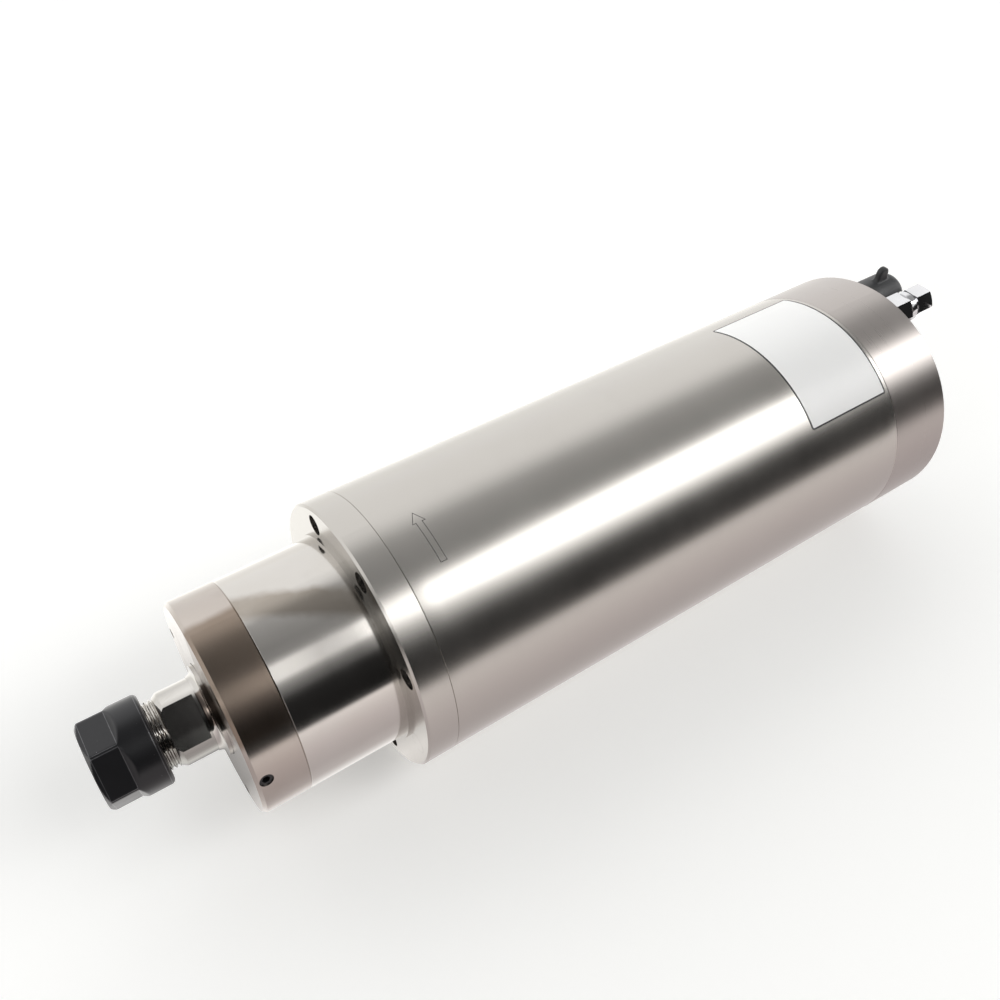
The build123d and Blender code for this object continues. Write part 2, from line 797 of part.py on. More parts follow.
# Rear bearing housing: a disc seated in the sleeve, flanged against its end
rear_screw_spots = polar_spots(body_r - rear_screw_inset, rear_screw_count, rear_screw_angle)
cover_spots = polar_spots(rear_seat_r + cover_screw_step, cover_screw_count, cover_screw_angle)
wire_spot = [(0, -wire_hole_radius)]
water_ports = [outlet_port, inlet_port]
with BuildPart() as rear_housing:
    turn([
        (housing_front, rear_land_r),
        (housing_front, sleeve_bore_r - rear_housing_chamfer),
        (housing_front + rear_housing_chamfer, sleeve_bore_r - seat_gap),
        (sleeve_rear, sleeve_bore_r - seat_gap),
        (sleeve_rear, jacket_bore_r - seat_gap),
        (jacket_rear, jacket_bore_r - seat_gap),
        (jacket_rear, rear_seat_r + seat_gap),
        (spring_front, rear_seat_r + seat_gap),
        (spring_front, rear_land_r),
    ])
    rods(sleeve_rear, rear_housing_flange, rear_housing_spots, screw_hole, Mode.SUBTRACT)
    rods(jacket_rear - rear_screw_bite, rear_screw_bite, rear_screw_spots,
         screw_od + 2 * seat_gap, Mode.SUBTRACT)
    rods(jacket_rear - cover_screw_length, cover_screw_length, cover_spots,
         screw_od + 2 * seat_gap, Mode.SUBTRACT)
    rods(housing_front, jacket_rear - housing_front, wire_spot, wire_hole, Mode.SUBTRACT)
    rods(sleeve_rear, rear_housing_flange, water_ports, water_bore, Mode.SUBTRACT)
    rods(jacket_rear - water_tube_seat, water_tube_seat, water_ports, water_tube_od, Mode.SUBTRACT)
rear_housing.part.label = "rear_housing"
export_step(rear_housing.part, "parts/rear_housing.step")

housing_head_top = jacket_rear + screw_head_height
with BuildPart() as rear_housing_screws:
    cap_screws(housing_head_top, -1, rear_housing_spots,
               rear_housing_flange + housing_screw_length - screw_end_gap)
rear_housing_screws.part.label = "rear_housing_screws"
export_step(rear_housing_screws.part, "parts/rear_housing_screws.step")

# Bearing cover with a spigot that stops the rear outer ring
cover_rear = jacket_rear + cover_flange_width
with BuildPart() as bearing_cover:
    turn([
        (rear_bearing_rear + seat_gap, cover_bore_r),
        (rear_bearing_rear + seat_gap, rear_seat_r),
        (jacket_rear, rear_seat_r),
        (jacket_rear, cover_flange_r),
        (cover_rear, cover_flange_r),
        (cover_rear, cover_bore_r),
    ])
    rods(jacket_rear, cover_flange_width, cover_spots, screw_hole, Mode.SUBTRACT)
    rods(jacket_rear, cover_flange_width, wire_spot, wire_hole, Mode.SUBTRACT)
bearing_cover.part.label = "bearing_cover"
export_step(bearing_cover.part, "parts/bearing_cover.step")

with BuildPart() as cover_screws:
    cap_screws(cover_rear + screw_head_height, -1, cover_spots,
               cover_flange_width + cover_screw_length - screw_end_gap)
cover_screws.part.label = "cover_screws"
export_step(cover_screws.part, "parts/cover_screws.step")

# Rear cap: a deep cup with bosses for its screws and for the two hose fittings
cap_bore_r = body_r - rear_cap_skirt
hose_spots = [outlet_spot, inlet_spot]
with BuildPart() as rear_cap:
    turn([
        (jacket_rear, cap_bore_r),
        (jacket_rear, body_r - seam_chamfer),
        (jacket_rear + seam_chamfer, body_r),
        (rear_face - rim_chamfer, body_r),
        (rear_face, body_r - rim_chamfer),
        (rear_face, 0),
        (cap_wall_front, 0),
        (cap_wall_front, cap_bore_r),
    ])
    rods(jacket_rear, rear_cap_length - rear_cap_wall, rear_screw_spots, rear_boss_od)
    rods(boss_front, fitting_boss_length, hose_spots, fitting_boss_od)
    ring(jacket_rear, rear_face - rim_chamfer, body_r, body_od, Mode.SUBTRACT)
    rods(rear_face - rear_screw_sink, rear_screw_sink, rear_screw_spots, screw_recess_od, Mode.SUBTRACT)
    rods(jacket_rear, rear_cap_length, rear_screw_spots, screw_hole, Mode.SUBTRACT)
    rods(rear_face - fitting_thread_length, fitting_thread_length, hose_spots,
         fitting_thread_od + 2 * seat_gap, Mode.SUBTRACT)
    rods(boss_front, fitting_boss_length, hose_spots, fitting_bore, Mode.SUBTRACT)
    rods(boss_front, water_tube_seat, hose_spots, water_tube_od, Mode.SUBTRACT)
    rods(cap_wall_front, rear_cap_wall, [socket_spot], socket_od + 2 * seat_gap, Mode.SUBTRACT)
    corner_spots = [(socket_spot[0] + i * socket_screw_spacing / 2, socket_spot[1] + j * socket_screw_spacing / 2)
                    for i in (-1, 1) for j in (-1, 1)]
    rods(rear_face - socket_screw_length, socket_screw_length, corner_spots,
         socket_screw_od + 2 * seat_gap, Mode.SUBTRACT)
rear_cap.part.label = "rear_cap"
export_step(rear_cap.part, "parts/rear_cap.step")

rear_head_top = rear_face - rear_screw_sink + screw_head_height
rear_screw_length = rear_face - rear_screw_sink - jacket_rear + rear_screw_bite - screw_end_gap
with BuildPart() as rear_cap_screws:
    cap_screws(rear_head_top, -1, rear_screw_spots, rear_screw_length)
rear_cap_screws.part.label = "rear_cap_screws"
export_step(rear_cap_screws.part, "parts/rear_cap_screws.step")

# Water tubes: from the ports in the rear housing to the bosses behind the hose fittings
tube_front = jacket_rear - water_tube_seat
tube_rear = boss_front + water_tube_seat
with BuildPart() as water_tubes:
    for port, spot in zip(water_ports, hose_spots):
        with BuildLine() as route:
            FilletPolyline((tube_front, *port), (jacket_rear + water_tube_run, *port),
                           (boss_front - water_tube_run, *spot), (tube_rear, *spot), radius=water_tube_radius)
        with BuildSketch(Plane(origin=(tube_front, *port), x_dir=(0, 1, 0), z_dir=(1, 0, 0))) as tube_end:
            Circle(water_tube_od / 2 - seat_gap)
            Circle(water_bore / 2, mode=Mode.SUBTRACT)
        sweep(tube_end.sketch, path=route.line)
water_tubes.part.label = "water_tubes"
export_step(water_tubes.part, "parts/water_tubes.step")

# Rubber rings that keep the water between sleeve and jacket and out of the motor
with BuildPart() as water_seals:
    seal_ring(spigot_rear - 2 * oring_section, sleeve_bore_r)
    for front in sleeve_seals:
        seal_ring(front, jacket_bore_r)
water_seals.part.label = "water_seals"
export_step(water_seals.part, "parts/water_seals.step")

# Collet: spring sleeve slit from both ends in turn
slot_run = collet_length * collet_slot_share
with BuildPart() as spring_collet:
    turn([
        (collet_front, collet_bore / 2),
        (collet_front, collet_front_flat / 2),
        (collet_head, collet_od / 2),
        (collet_head, collet_neck_od / 2),
        (collet_shoulder, collet_neck_od / 2),
        (collet_shoulder, collet_od / 2),
        (collet_rear, collet_r(collet_rear)),
        (collet_rear, collet_bore / 2),
    ])
    with BuildSketch(along_x(collet_front)) as front_slits:
        with PolarLocations(collet_od / 2, collet_slots):
            Rectangle(collet_od, collet_slot_width)
    extrude(front_slits.sketch, amount=slot_run, mode=Mode.SUBTRACT)
    with BuildSketch(along_x(collet_rear)) as rear_slits:
        with PolarLocations(collet_od / 2, collet_slots, start_angle=180 / collet_slots):
            Rectangle(collet_od, collet_slot_width)
    extrude(rear_slits.sketch, amount=-slot_run, mode=Mode.SUBTRACT)
spring_collet.part.label = "spring_collet"
export_step(spring_collet.part, "parts/spring_collet.step")

# Collet nut: hexagon in front, round skirt behind, coned mouth inside
grip_r = collet_neck_od / 2 + run_gap
nut_chamber = shaft_front - run_gap
cone_r = collet_od / 2 + run_gap
hex_rear = nut_front + nut_hex_length
cutter_slope = nut_r - nut_hex / 2
with BuildPart() as collet_nut:
    turn([
        (nut_front, nut_mouth / 2),
        (nut_front, nut_r - nut_front_chamfer * nut_front_slope),
        (nut_front + nut_front_chamfer, nut_r),
        (nut_rear - nut_rear_round, nut_r),
        (nut_rear - nut_rear_round / 3, nut_r - nut_rear_round / 3),
        (nut_rear, nut_r - nut_rear_round),
        (nut_rear, thread_r + thread_gap),
        (nut_chamber, thread_r + thread_gap),
        (nut_chamber, cone_r),
        (collet_shoulder - run_gap, cone_r),
        (collet_shoulder - run_gap, grip_r),
        (collet_head + run_gap, grip_r),
        (collet_head + run_gap, cone_r),
        (collet_head, cone_r),
        (collet_front + run_gap, nut_mouth / 2),
    ])
    # Each hexagon flat is milled by a cutter with a bevelled end
    for i in range(6):
        flat_normal = math.radians(nut_corner_angle + 30 + 60 * i)
        flat = Plane(origin=(0, 0, 0),
                     x_dir=(1, 0, 0),
                     z_dir=(0, -math.sin(flat_normal), math.cos(flat_normal)))
        with BuildSketch(flat):
            with BuildLine():
                Polyline((nut_front - 1, -nut_hex / 2), (hex_rear, -nut_hex / 2),
                         (hex_rear + 2 * cutter_slope, -nut_hex / 2 - 2 * cutter_slope),
                         (nut_front - 1, -nut_hex / 2 - 2 * cutter_slope), close=True)
            make_face()
        extrude(amount=nut_r, both=True, mode=Mode.SUBTRACT)
collet_nut.part.label = "collet_nut"
export_step(collet_nut.part, "parts/collet_nut.step")

# Hose fittings: body screwed into the rear cap, ferrule and nut that clamp the hose
stub_front = rear_face + fitting_hex_length + fitting_collar_length
fitting_nut_front = stub_front + fitting_nut_gap
fitting_nut_rear = fitting_nut_front + fitting_nut_length
ferrule_front = stub_front + fitting_stub_length - ferrule_length


def hose_fitting(spot):
    rods(rear_face - fitting_thread_length, fitting_thread_length, [spot], fitting_thread_od)
    hexes(rear_face, fitting_hex_length, [spot], fitting_hex)
    rods(rear_face + fitting_hex_length, fitting_collar_length, [spot], fitting_collar_od)
    rods(stub_front, fitting_stub_length, [spot], fitting_stub_od)
    rods(rear_face - fitting_thread_length, stub_front + fitting_stub_length - rear_face + fitting_thread_length,
         [spot], fitting_bore, Mode.SUBTRACT)
    rods(ferrule_front - hose_depth, hose_depth, [spot], hose_od + 2 * hose_gap, Mode.SUBTRACT)
    rods(ferrule_front, ferrule_length, [spot], hose_od + 2 * ferrule_wall + 2 * thread_gap, Mode.SUBTRACT)


def hose_ferrule(spot):
    rods(ferrule_front + run_gap, ferrule_length + ferrule_lip, [spot], hose_od + 2 * ferrule_wall)
    rods(ferrule_front, ferrule_length + 2 * ferrule_lip, [spot], hose_od + 2 * hose_gap, Mode.SUBTRACT)


def hose_nut(spot):
    hexes(fitting_nut_front, fitting_nut_length, [spot], fitting_nut_hex)
    bevel_rise = fitting_nut_length * math.tan(math.radians(fitting_nut_bevel))
    with BuildSketch(along_x(fitting_nut_front)) as bevel:
        with Locations(spot):
            Circle(fitting_nut_end_od / 2 + bevel_rise)
    extrude(bevel.sketch, amount=fitting_nut_length, taper=fitting_nut_bevel, mode=Mode.INTERSECT)
    lip_front = ferrule_front + ferrule_length + ferrule_lip + 2 * run_gap
    rods(fitting_nut_front, lip_front - fitting_nut_front, [spot], fitting_stub_od + 2 * thread_gap, Mode.SUBTRACT)
    rods(fitting_nut_front, fitting_nut_length, [spot], hose_od + 4 * hose_gap, Mode.SUBTRACT)


with BuildPart() as outlet_fitting:
    hose_fitting(outlet_spot)
outlet_fitting.part.label = "outlet_fitting"
export_step(outlet_fitting.part, "parts/outlet_fitting.step")

with BuildPart() as outlet_ferrule:
    hose_ferrule(outlet_spot)
outlet_ferrule.part.label = "outlet_ferrule"
export_step(outlet_ferrule.part, "parts/outlet_ferrule.step")

with BuildPart() as outlet_nut:
    hose_nut(outlet_spot)
outlet_nut.part.label = "outlet_nut"
export_step(outlet_nut.part, "parts/outlet_nut.step")

with BuildPart() as inlet_fitting:
    hose_fitting(inlet_spot)
inlet_fitting.part.label = "inlet_fitting"
export_step(inlet_fitting.part, "parts/inlet_fitting.step")

with BuildPart() as inlet_ferrule:
    hose_ferrule(inlet_spot)
inlet_ferrule.part.label = "inlet_ferrule"
export_step(inlet_ferrule.part, "parts/inlet_ferrule.step")

with BuildPart() as inlet_nut:
    hose_nut(inlet_spot)
inlet_nut.part.label = "inlet_nut"
export_step(inlet_nut.part, "parts/inlet_nut.step")

# Rubber dust cap with a pull tab, pushed over the inlet fitting
inlet_axis = Axis((0, inlet_spot[0], inlet_spot[1]), (1, 0, 0))
cap_front = rear_face + dust_cap_start
cap_end = cap_front + dust_cap_length
cap_r = dust_cap_od / 2
cap_hole_r = cap_r - dust_cap_wall
inlet_plane = Plane(origin=(0, inlet_spot[0], inlet_spot[1]), x_dir=(1, 0, 0), z_dir=(0, -1, 0))
with BuildPart() as dust_cap:
    with BuildSketch(inlet_plane) as cap_shape:
        with BuildLine():
            straight = Line((cap_front, cap_r), (cap_end - dust_cap_round, cap_r))
            rounding = RadiusArc(straight @ 1, (cap_end, cap_r - dust_cap_round), dust_cap_round)
            Polyline(rounding @ 1, (cap_end, 0), (cap_front, 0), (cap_front, cap_r))
        make_face()
    revolve(cap_shape.sketch, axis=inlet_axis)
    # Pull tab on the outer side of the cap, flared where it grows out of it
    with BuildSketch(inlet_plane) as tab_shape:
        tab_front = rear_face + dust_tab_start
        tab_rear = tab_front + dust_tab_width
        tab_round = dust_tab_width / 2
        tab_base = cap_r - dust_cap_wall / 2
        tab_top = cap_r + dust_tab_height
        foot_front = tab_front - dust_tab_flare
        foot_rear = tab_rear + dust_tab_flare
        with BuildLine():
            CenterArc((foot_front, tab_base + dust_tab_flare), dust_tab_flare, -90, 90)
            Line((tab_front, tab_base + dust_tab_flare), (tab_front, tab_top - tab_round))
            CenterArc((tab_front + tab_round, tab_top - tab_round), tab_round, 0, 180)
            Line((tab_rear, tab_top - tab_round), (tab_rear, tab_base + dust_tab_flare))
            CenterArc((foot_rear, tab_base + dust_tab_flare), dust_tab_flare, 180, 90)
            Line((foot_rear, tab_base), (foot_front, tab_base))
        make_face()
    extrude(tab_shape.sketch, amount=dust_tab_thickness / 2, both=True)
    with BuildSketch(inlet_plane) as cavity_shape:
        with BuildLine():
            bore_line = Line((cap_front, cap_hole_r), (cap_end - dust_cap_round, cap_hole_r))
            bore_round = RadiusArc(bore_line @ 1, (cap_end - dust_cap_wall, cap_r - dust_cap_round),
                                   dust_cap_round - dust_cap_wall)
            Polyline(bore_round @ 1, (cap_end - dust_cap_wall, 0), (cap_front, 0), (cap_front, cap_hole_r))
        make_face()
    revolve(cavity_shape.sketch, axis=inlet_axis, mode=Mode.SUBTRACT)
dust_cap.part.label = "dust_cap"
export_step(dust_cap.part, "parts/dust_cap.step")

# Power socket: square flange with a round shell, insulator and four pins
gasket_rear = rear_face + gasket_thickness
flange_rear = gasket_rear + socket_flange_thickness
socket_rear_end = flange_rear + socket_length
insulator_rear = gasket_rear + socket_floor
insulator_front = rear_face - socket_tail
socket_bore_r = socket_od / 2 - socket_wall


def socket_outline(station, thickness):
    with BuildSketch(along_x(station)) as flange_shape:
        with Locations(socket_spot):
            RectangleRounded(socket_flange, socket_flange, socket_corner)
            Circle(socket_od / 2 + seat_gap, mode=Mode.SUBTRACT)
        with Locations(*corner_spots):
            Circle(socket_screw_od / 2 + 2 * thread_gap, mode=Mode.SUBTRACT)
    extrude(flange_shape.sketch, amount=thickness)


with BuildPart() as socket_gasket:
    socket_outline(rear_face, gasket_thickness)
socket_gasket.part.label = "socket_gasket"
export_step(socket_gasket.part, "parts/socket_gasket.step")

with BuildPart() as socket_shell:
    socket_outline(gasket_rear, socket_flange_thickness)
    rods(insulator_front, socket_rear_end - insulator_front, [socket_spot], socket_od)
    rods(gasket_rear, socket_flange_thickness, [socket_spot], socket_od + 1)
    rods(insulator_front, socket_rear_end - insulator_front, [socket_spot], 2 * socket_bore_r, Mode.SUBTRACT)
socket_shell.part.label = "socket_shell"
export_step(socket_shell.part, "parts/socket_shell.step")

pin_spots = [(socket_spot[0] + y, socket_spot[1] + z) for y, z in polar_spots(pin_circle / 2, pin_count, 45)]
with BuildPart() as socket_insulator:
    rods(insulator_front, insulator_rear - insulator_front, [socket_spot], 2 * (socket_bore_r - seat_gap))
    with BuildSketch(along_x(insulator_rear)) as key:
        with Locations(socket_spot):
            Circle(socket_bore_r - seat_gap)
            Circle(socket_bore_r - seat_gap - key_height, mode=Mode.SUBTRACT)
            Rectangle(key_width, socket_od, align=(Align.CENTER, Align.MIN), mode=Mode.INTERSECT)
    extrude(key.sketch, amount=pin_reach)
    rods(insulator_front, insulator_rear - insulator_front, pin_spots, pin_od + 2 * seat_gap, Mode.SUBTRACT)
socket_insulator.part.label = "socket_insulator"
export_step(socket_insulator.part, "parts/socket_insulator.step")

with BuildPart() as socket_pins:
    rods(insulator_front - pin_tail, insulator_rear - insulator_front + pin_tail + pin_reach, pin_spots, pin_od)
socket_pins.part.label = "socket_pins"
export_step(socket_pins.part, "parts/socket_pins.step")

with BuildPart() as socket_screws:
    rods(rear_face - socket_screw_length, socket_screw_length + flange_rear - rear_face, corner_spots,
         socket_screw_od)
    rods(flange_rear, socket_screw_head_height, corner_spots, socket_screw_head_od)
    hexes(flange_rear + socket_screw_head_height / 2, socket_screw_head_height / 2, corner_spots,
          socket_screw_key, Mode.SUBTRACT)
socket_screws.part.label = "socket_screws"
export_step(socket_screws.part, "parts/socket_screws.step")

# Motor leads: from the rear end turns through the housing hole to the socket pins
lead_front = core_end + end_turn_length + seat_gap
lead_rear = insulator_front - pin_tail - lead_gap
lead_bend = cover_rear + lead_run
with BuildPart() as motor_leads:
    for pin_y, pin_z in pin_spots:
        column = 1 if pin_y > socket_spot[0] else -1
        row = 1 if pin_z > socket_spot[1] else -1
        start = (lead_front, column * lead_spread / 2, row * lead_spread / 2 - wire_hole_radius)
        shift = row * lead_spread / 2
        with BuildLine() as path:
            FilletPolyline(start, (lead_bend - shift, start[1], start[2]),
                           (lead_rear - lead_run - shift, pin_y, pin_z), (lead_rear, pin_y, pin_z),
                           radius=lead_radius)
        with BuildSketch(Plane(origin=start, x_dir=(0, 1, 0), z_dir=(1, 0, 0))) as end:
            Circle(lead_od / 2)
        sweep(end.sketch, path=path.line)
motor_leads.part.label = "motor_leads"
export_step(motor_leads.part, "parts/motor_leads.step")
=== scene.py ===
import math

import bmesh
import bpy
import numpy as np
from mathutils import Matrix


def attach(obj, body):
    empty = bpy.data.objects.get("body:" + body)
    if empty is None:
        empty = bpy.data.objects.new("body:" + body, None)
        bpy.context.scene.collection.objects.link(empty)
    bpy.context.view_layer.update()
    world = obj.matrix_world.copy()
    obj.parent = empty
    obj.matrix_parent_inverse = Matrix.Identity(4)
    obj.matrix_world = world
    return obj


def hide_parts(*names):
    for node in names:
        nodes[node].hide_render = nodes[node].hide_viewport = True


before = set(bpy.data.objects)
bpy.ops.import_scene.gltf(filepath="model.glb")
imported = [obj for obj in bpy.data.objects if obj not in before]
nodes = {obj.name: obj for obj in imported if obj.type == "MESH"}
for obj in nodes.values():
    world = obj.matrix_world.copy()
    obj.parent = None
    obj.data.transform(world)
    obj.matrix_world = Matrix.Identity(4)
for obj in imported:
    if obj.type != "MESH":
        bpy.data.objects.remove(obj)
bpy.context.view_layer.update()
mm = 0.001
bumpReach = 0.00002  # height of the finest surface grain, in metres
weldReach = {"grid": 2e-6, "solid": 1e-6}  # points closer than this are one, in metres
scene = bpy.context.scene
print("frame loaded with", len(nodes), "nodes")


# small helpers for shader trees
def newMaterial(name):
    material = bpy.data.materials.new(name)
    material.use_nodes = True
    tree = material.node_tree
    tree.nodes.clear()
    out = tree.nodes.new("ShaderNodeOutputMaterial")
    shader = tree.nodes.new("ShaderNodeBsdfPrincipled")
    tree.links.new(shader.outputs["BSDF"], out.inputs["Surface"])
    return material, tree, shader


# a number or a colour is set on the socket, and another node's output is linked to it
def connect(tree, value, socket):
    if isinstance(value, (int, float)):
        socket.default_value = value
    elif isinstance(value, (tuple, list)):
        socket.default_value = (*value, 1.0)
    elif value is not None:
        tree.links.new(value, socket)


def mathNode(tree, operation, a, b=None, c=None, clamp=False):
    node = tree.nodes.new("ShaderNodeMath")
    node.operation = operation
    node.use_clamp = clamp
    for slot, value in enumerate((a, b, c)):
        connect(tree, value, node.inputs[slot])
    return node.outputs[0]


# a noise runs from 0 to 1: this moves its middle to 0
def centredNode(tree, value):
    return mathNode(tree, "SUBTRACT", value, 0.5)


# a smooth rise from 0 to 1 as the value passes from low to high
def riseNode(tree, value, low, high):
    node = tree.nodes.new("ShaderNodeMapRange")
    node.interpolation_type = "SMOOTHSTEP"
    connect(tree, value, node.inputs["Value"])
    connect(tree, low, node.inputs["From Min"])
    connect(tree, high, node.inputs["From Max"])
    return node.outputs["Result"]


def noiseNode(tree, vector, scale, detail=3.0, roughness=0.5, dimensions="3D"):
    node = tree.nodes.new("ShaderNodeTexNoise")
    node.noise_dimensions = dimensions
    node.inputs["Detail"].default_value = detail
    node.inputs["Roughness"].default_value = roughness
    connect(tree, scale, node.inputs["Scale"])
    tree.links.new(vector, node.inputs["W" if dimensions == "1D" else "Vector"])
    return node.outputs["Fac"]


# the mix node keeps its two colours on sockets 6 and 7
def mixColor(tree, factor, a, b):
    node = tree.nodes.new("ShaderNodeMix")
    node.data_type = "RGBA"
    for slot, value in ((0, factor), (6, a), (7, b)):
        connect(tree, value, node.inputs[slot])
    return node.outputs[2]


def bumpNode(tree, height, strength):
    node = tree.nodes.new("ShaderNodeBump")
    connect(tree, strength, node.inputs["Strength"])
    node.inputs["Distance"].default_value = bumpReach
    tree.links.new(height, node.inputs["Height"])
    return node.outputs["Normal"]


# ramp from a table of places and levels; the levels are divided by the scale, because a ramp holds 0 to 1
def rampNode(tree, value, stops, low, high, scale):
    node = tree.nodes.new("ShaderNodeValToRGB")
    elements = node.color_ramp.elements
    while len(elements) < len(stops):
        elements.new(0.5)
    for element, place in zip(elements, sorted(stops)):
        element.position = (place - low) / (high - low)
    for element, place in zip(elements, sorted(stops)):
        level = stops[place] if isinstance(stops[place], tuple) else (stops[place],) * 3
        element.color = (*(c / scale for c in level), 1)
    tree.links.new(value, node.inputs[0])
    return node.outputs[0]


def newGroup(name, inputs, outputs):
    group = bpy.data.node_groups.new(name, "ShaderNodeTree")
    for label, value in inputs.items():
        socket = group.interface.new_socket(label, in_out="INPUT", socket_type="NodeSocketFloat")
        socket.default_value = value
    for label, kind in outputs.items():
        group.interface.new_socket(label, in_out="OUTPUT", socket_type=kind)
    return group, group.nodes.new("NodeGroupInput"), group.nodes.new("NodeGroupOutput")


def useGroup(tree, group, values):
    node = tree.nodes.new("ShaderNodeGroup")
    node.node_tree = group
    for label, value in values.items():
        connect(tree, value, node.inputs[label])
    return node


# place on the piece, station along the spindle, distance from its axis, and turn round it in degrees
def placeNodes(tree):
    coords = tree.nodes.new("ShaderNodeTexCoord")
    parts = tree.nodes.new("ShaderNodeSeparateXYZ")
    tree.links.new(coords.outputs["Object"], parts.inputs[0])
    station, side, height = parts.outputs
    squares = mathNode(tree, "MULTIPLY_ADD", side, side, mathNode(tree, "MULTIPLY", height, height))
    degrees = mathNode(tree, "MULTIPLY", mathNode(tree, "ARCTAN2", height, side), 180 / math.pi)
    turn = mathNode(tree, "FLOORED_MODULO", degrees, 360.0)
    return coords.outputs["Object"], station, mathNode(tree, "SQRT", squares), turn


# turned finish: fine rings that run round the axis, from the sum of station and radius,
# with a slow cloud that shifts the gloss
ringPattern = {"coarse": 0.07, "coarseShare": 0.4, "fineShare": 0.6}


def buildTurnedGroup():
    group, source, sink = newGroup(
        "turnedFinish",
        {"Lines per metre": 2500.0, "Line depth": 0.1, "Cloud scale": 30.0, "Cloud depth": 0.08,
         "Roughness": 0.2, "Roughness spread": 0.08},
        {"Roughness": "NodeSocketFloat", "Tint": "NodeSocketFloat", "Lines": "NodeSocketFloat",
         "Normal": "NodeSocketVector"})
    place, station, radius, _ = placeNodes(group)
    path = mathNode(group, "ADD", station, radius)
    scaled = mathNode(group, "MULTIPLY", path, source.outputs["Lines per metre"])
    fine = noiseNode(group, scaled, 1.0, 4.0, 0.6, "1D")
    coarse = noiseNode(group, scaled, ringPattern["coarse"], 2.0, 0.5, "1D")
    cloud = noiseNode(group, place, source.outputs["Cloud scale"], 4.0, 0.55)
    lines = mathNode(group, "MULTIPLY_ADD", coarse, ringPattern["coarseShare"],
                     mathNode(group, "MULTIPLY", fine, ringPattern["fineShare"]))
    spread = mathNode(group, "MULTIPLY_ADD", centredNode(group, cloud),
                      source.outputs["Cloud depth"], source.outputs["Roughness"])
    rough = mathNode(group, "MULTIPLY_ADD", centredNode(group, lines),
                     source.outputs["Roughness spread"], spread, clamp=True)
    group.links.new(rough, sink.inputs["Roughness"])
    group.links.new(cloud, sink.inputs["Tint"])
    group.links.new(lines, sink.inputs["Lines"])
    group.links.new(bumpNode(group, lines, source.outputs["Line depth"]), sink.inputs["Normal"])
    return group


# painted shade: a darker band painted between two turns round the axis, standing in for dark reflections and
# shade, broken up by a cloud. With a slant, in degrees per metre, both turns move on along the axis
def buildPaintedShadeGroup():
    group, source, sink = newGroup(
        "paintedShadeBand", {"From": 70.0, "To": 120.0, "Slant": 0.0, "Fade": 14.0, "Break up": 0.5, "Scale": 45.0},
        {"Mask": "NodeSocketFloat"})
    first, last, fade = source.outputs["From"], source.outputs["To"], source.outputs["Fade"]
    place, station, _, turn = placeNodes(group)
    cloud = centredNode(group, noiseNode(group, place, source.outputs["Scale"], 3.0, 0.6))
    leant = mathNode(group, "SUBTRACT", turn, mathNode(group, "MULTIPLY", station, source.outputs["Slant"]))
    wander = mathNode(group, "MULTIPLY_ADD", cloud, fade, leant)
    start = riseNode(group, wander, mathNode(group, "SUBTRACT", first, fade), first)
    end = riseNode(group, wander, mathNode(group, "ADD", last, fade), last)
    patch = mathNode(group, "MULTIPLY_ADD", cloud, source.outputs["Break up"], 1.0)
    both = mathNode(group, "MULTIPLY", mathNode(group, "MULTIPLY", start, end), patch, clamp=True)
    group.links.new(both, sink.inputs["Mask"])
    return group


# handling: faint smears, and thin scratches that are narrow bands of a stretched noise, kept to some patches
handlingPattern = {"smearScale": 55.0, "smearFrom": 0.5, "smearTo": 0.74, "lean": 1.6, "twist": 0.0009,
                   "lineWidth": 0.006, "patchScale": 38.0, "patchFrom": 0.58, "patchTo": 0.68}


def buildHandlingGroup():
    group, source, sink = newGroup(
        "handlingMarks", {"Smear": 0.3, "Scratch": 0.3, "Stretch": 18.0, "Scale": 60.0},
        {"Smear": "NodeSocketFloat", "Scratch": "NodeSocketFloat"})
    use, scale = handlingPattern, source.outputs["Scale"]
    place, station, _, turn = placeNodes(group)
    smear = noiseNode(group, place, use["smearScale"], 5.0, 0.65)
    smear = riseNode(group, smear, use["smearFrom"], use["smearTo"])
    twisted = mathNode(group, "MULTIPLY", turn, use["twist"])
    slanted = mathNode(group, "MULTIPLY_ADD", station, use["lean"], twisted)
    narrow = mathNode(group, "MULTIPLY", scale, source.outputs["Stretch"])
    across = mathNode(group, "MULTIPLY", slanted, narrow)
    stretched = group.nodes.new("ShaderNodeCombineXYZ")
    group.links.new(mathNode(group, "MULTIPLY", station, scale), stretched.inputs[0])
    group.links.new(across, stretched.inputs[1])
    streak = centredNode(group, noiseNode(group, stretched.outputs[0], 1.0, 1.0, 0.4))
    line = riseNode(group, mathNode(group, "ABSOLUTE", streak), use["lineWidth"], 0.0)
    where = riseNode(group, noiseNode(group, place, use["patchScale"], 2.0), use["patchFrom"], use["patchTo"])
    scratch = mathNode(group, "MULTIPLY", mathNode(group, "MULTIPLY", line, where), source.outputs["Scratch"])
    group.links.new(mathNode(group, "MULTIPLY", smear, source.outputs["Smear"]), sink.inputs["Smear"])
    group.links.new(scratch, sink.inputs["Scratch"])
    return group


# worn edges: the piece's own wear attribute, broken up so that the bright line comes and goes
wearPattern = {"grain": 1.4, "least": 0.2, "from": 0.25, "to": 0.85}


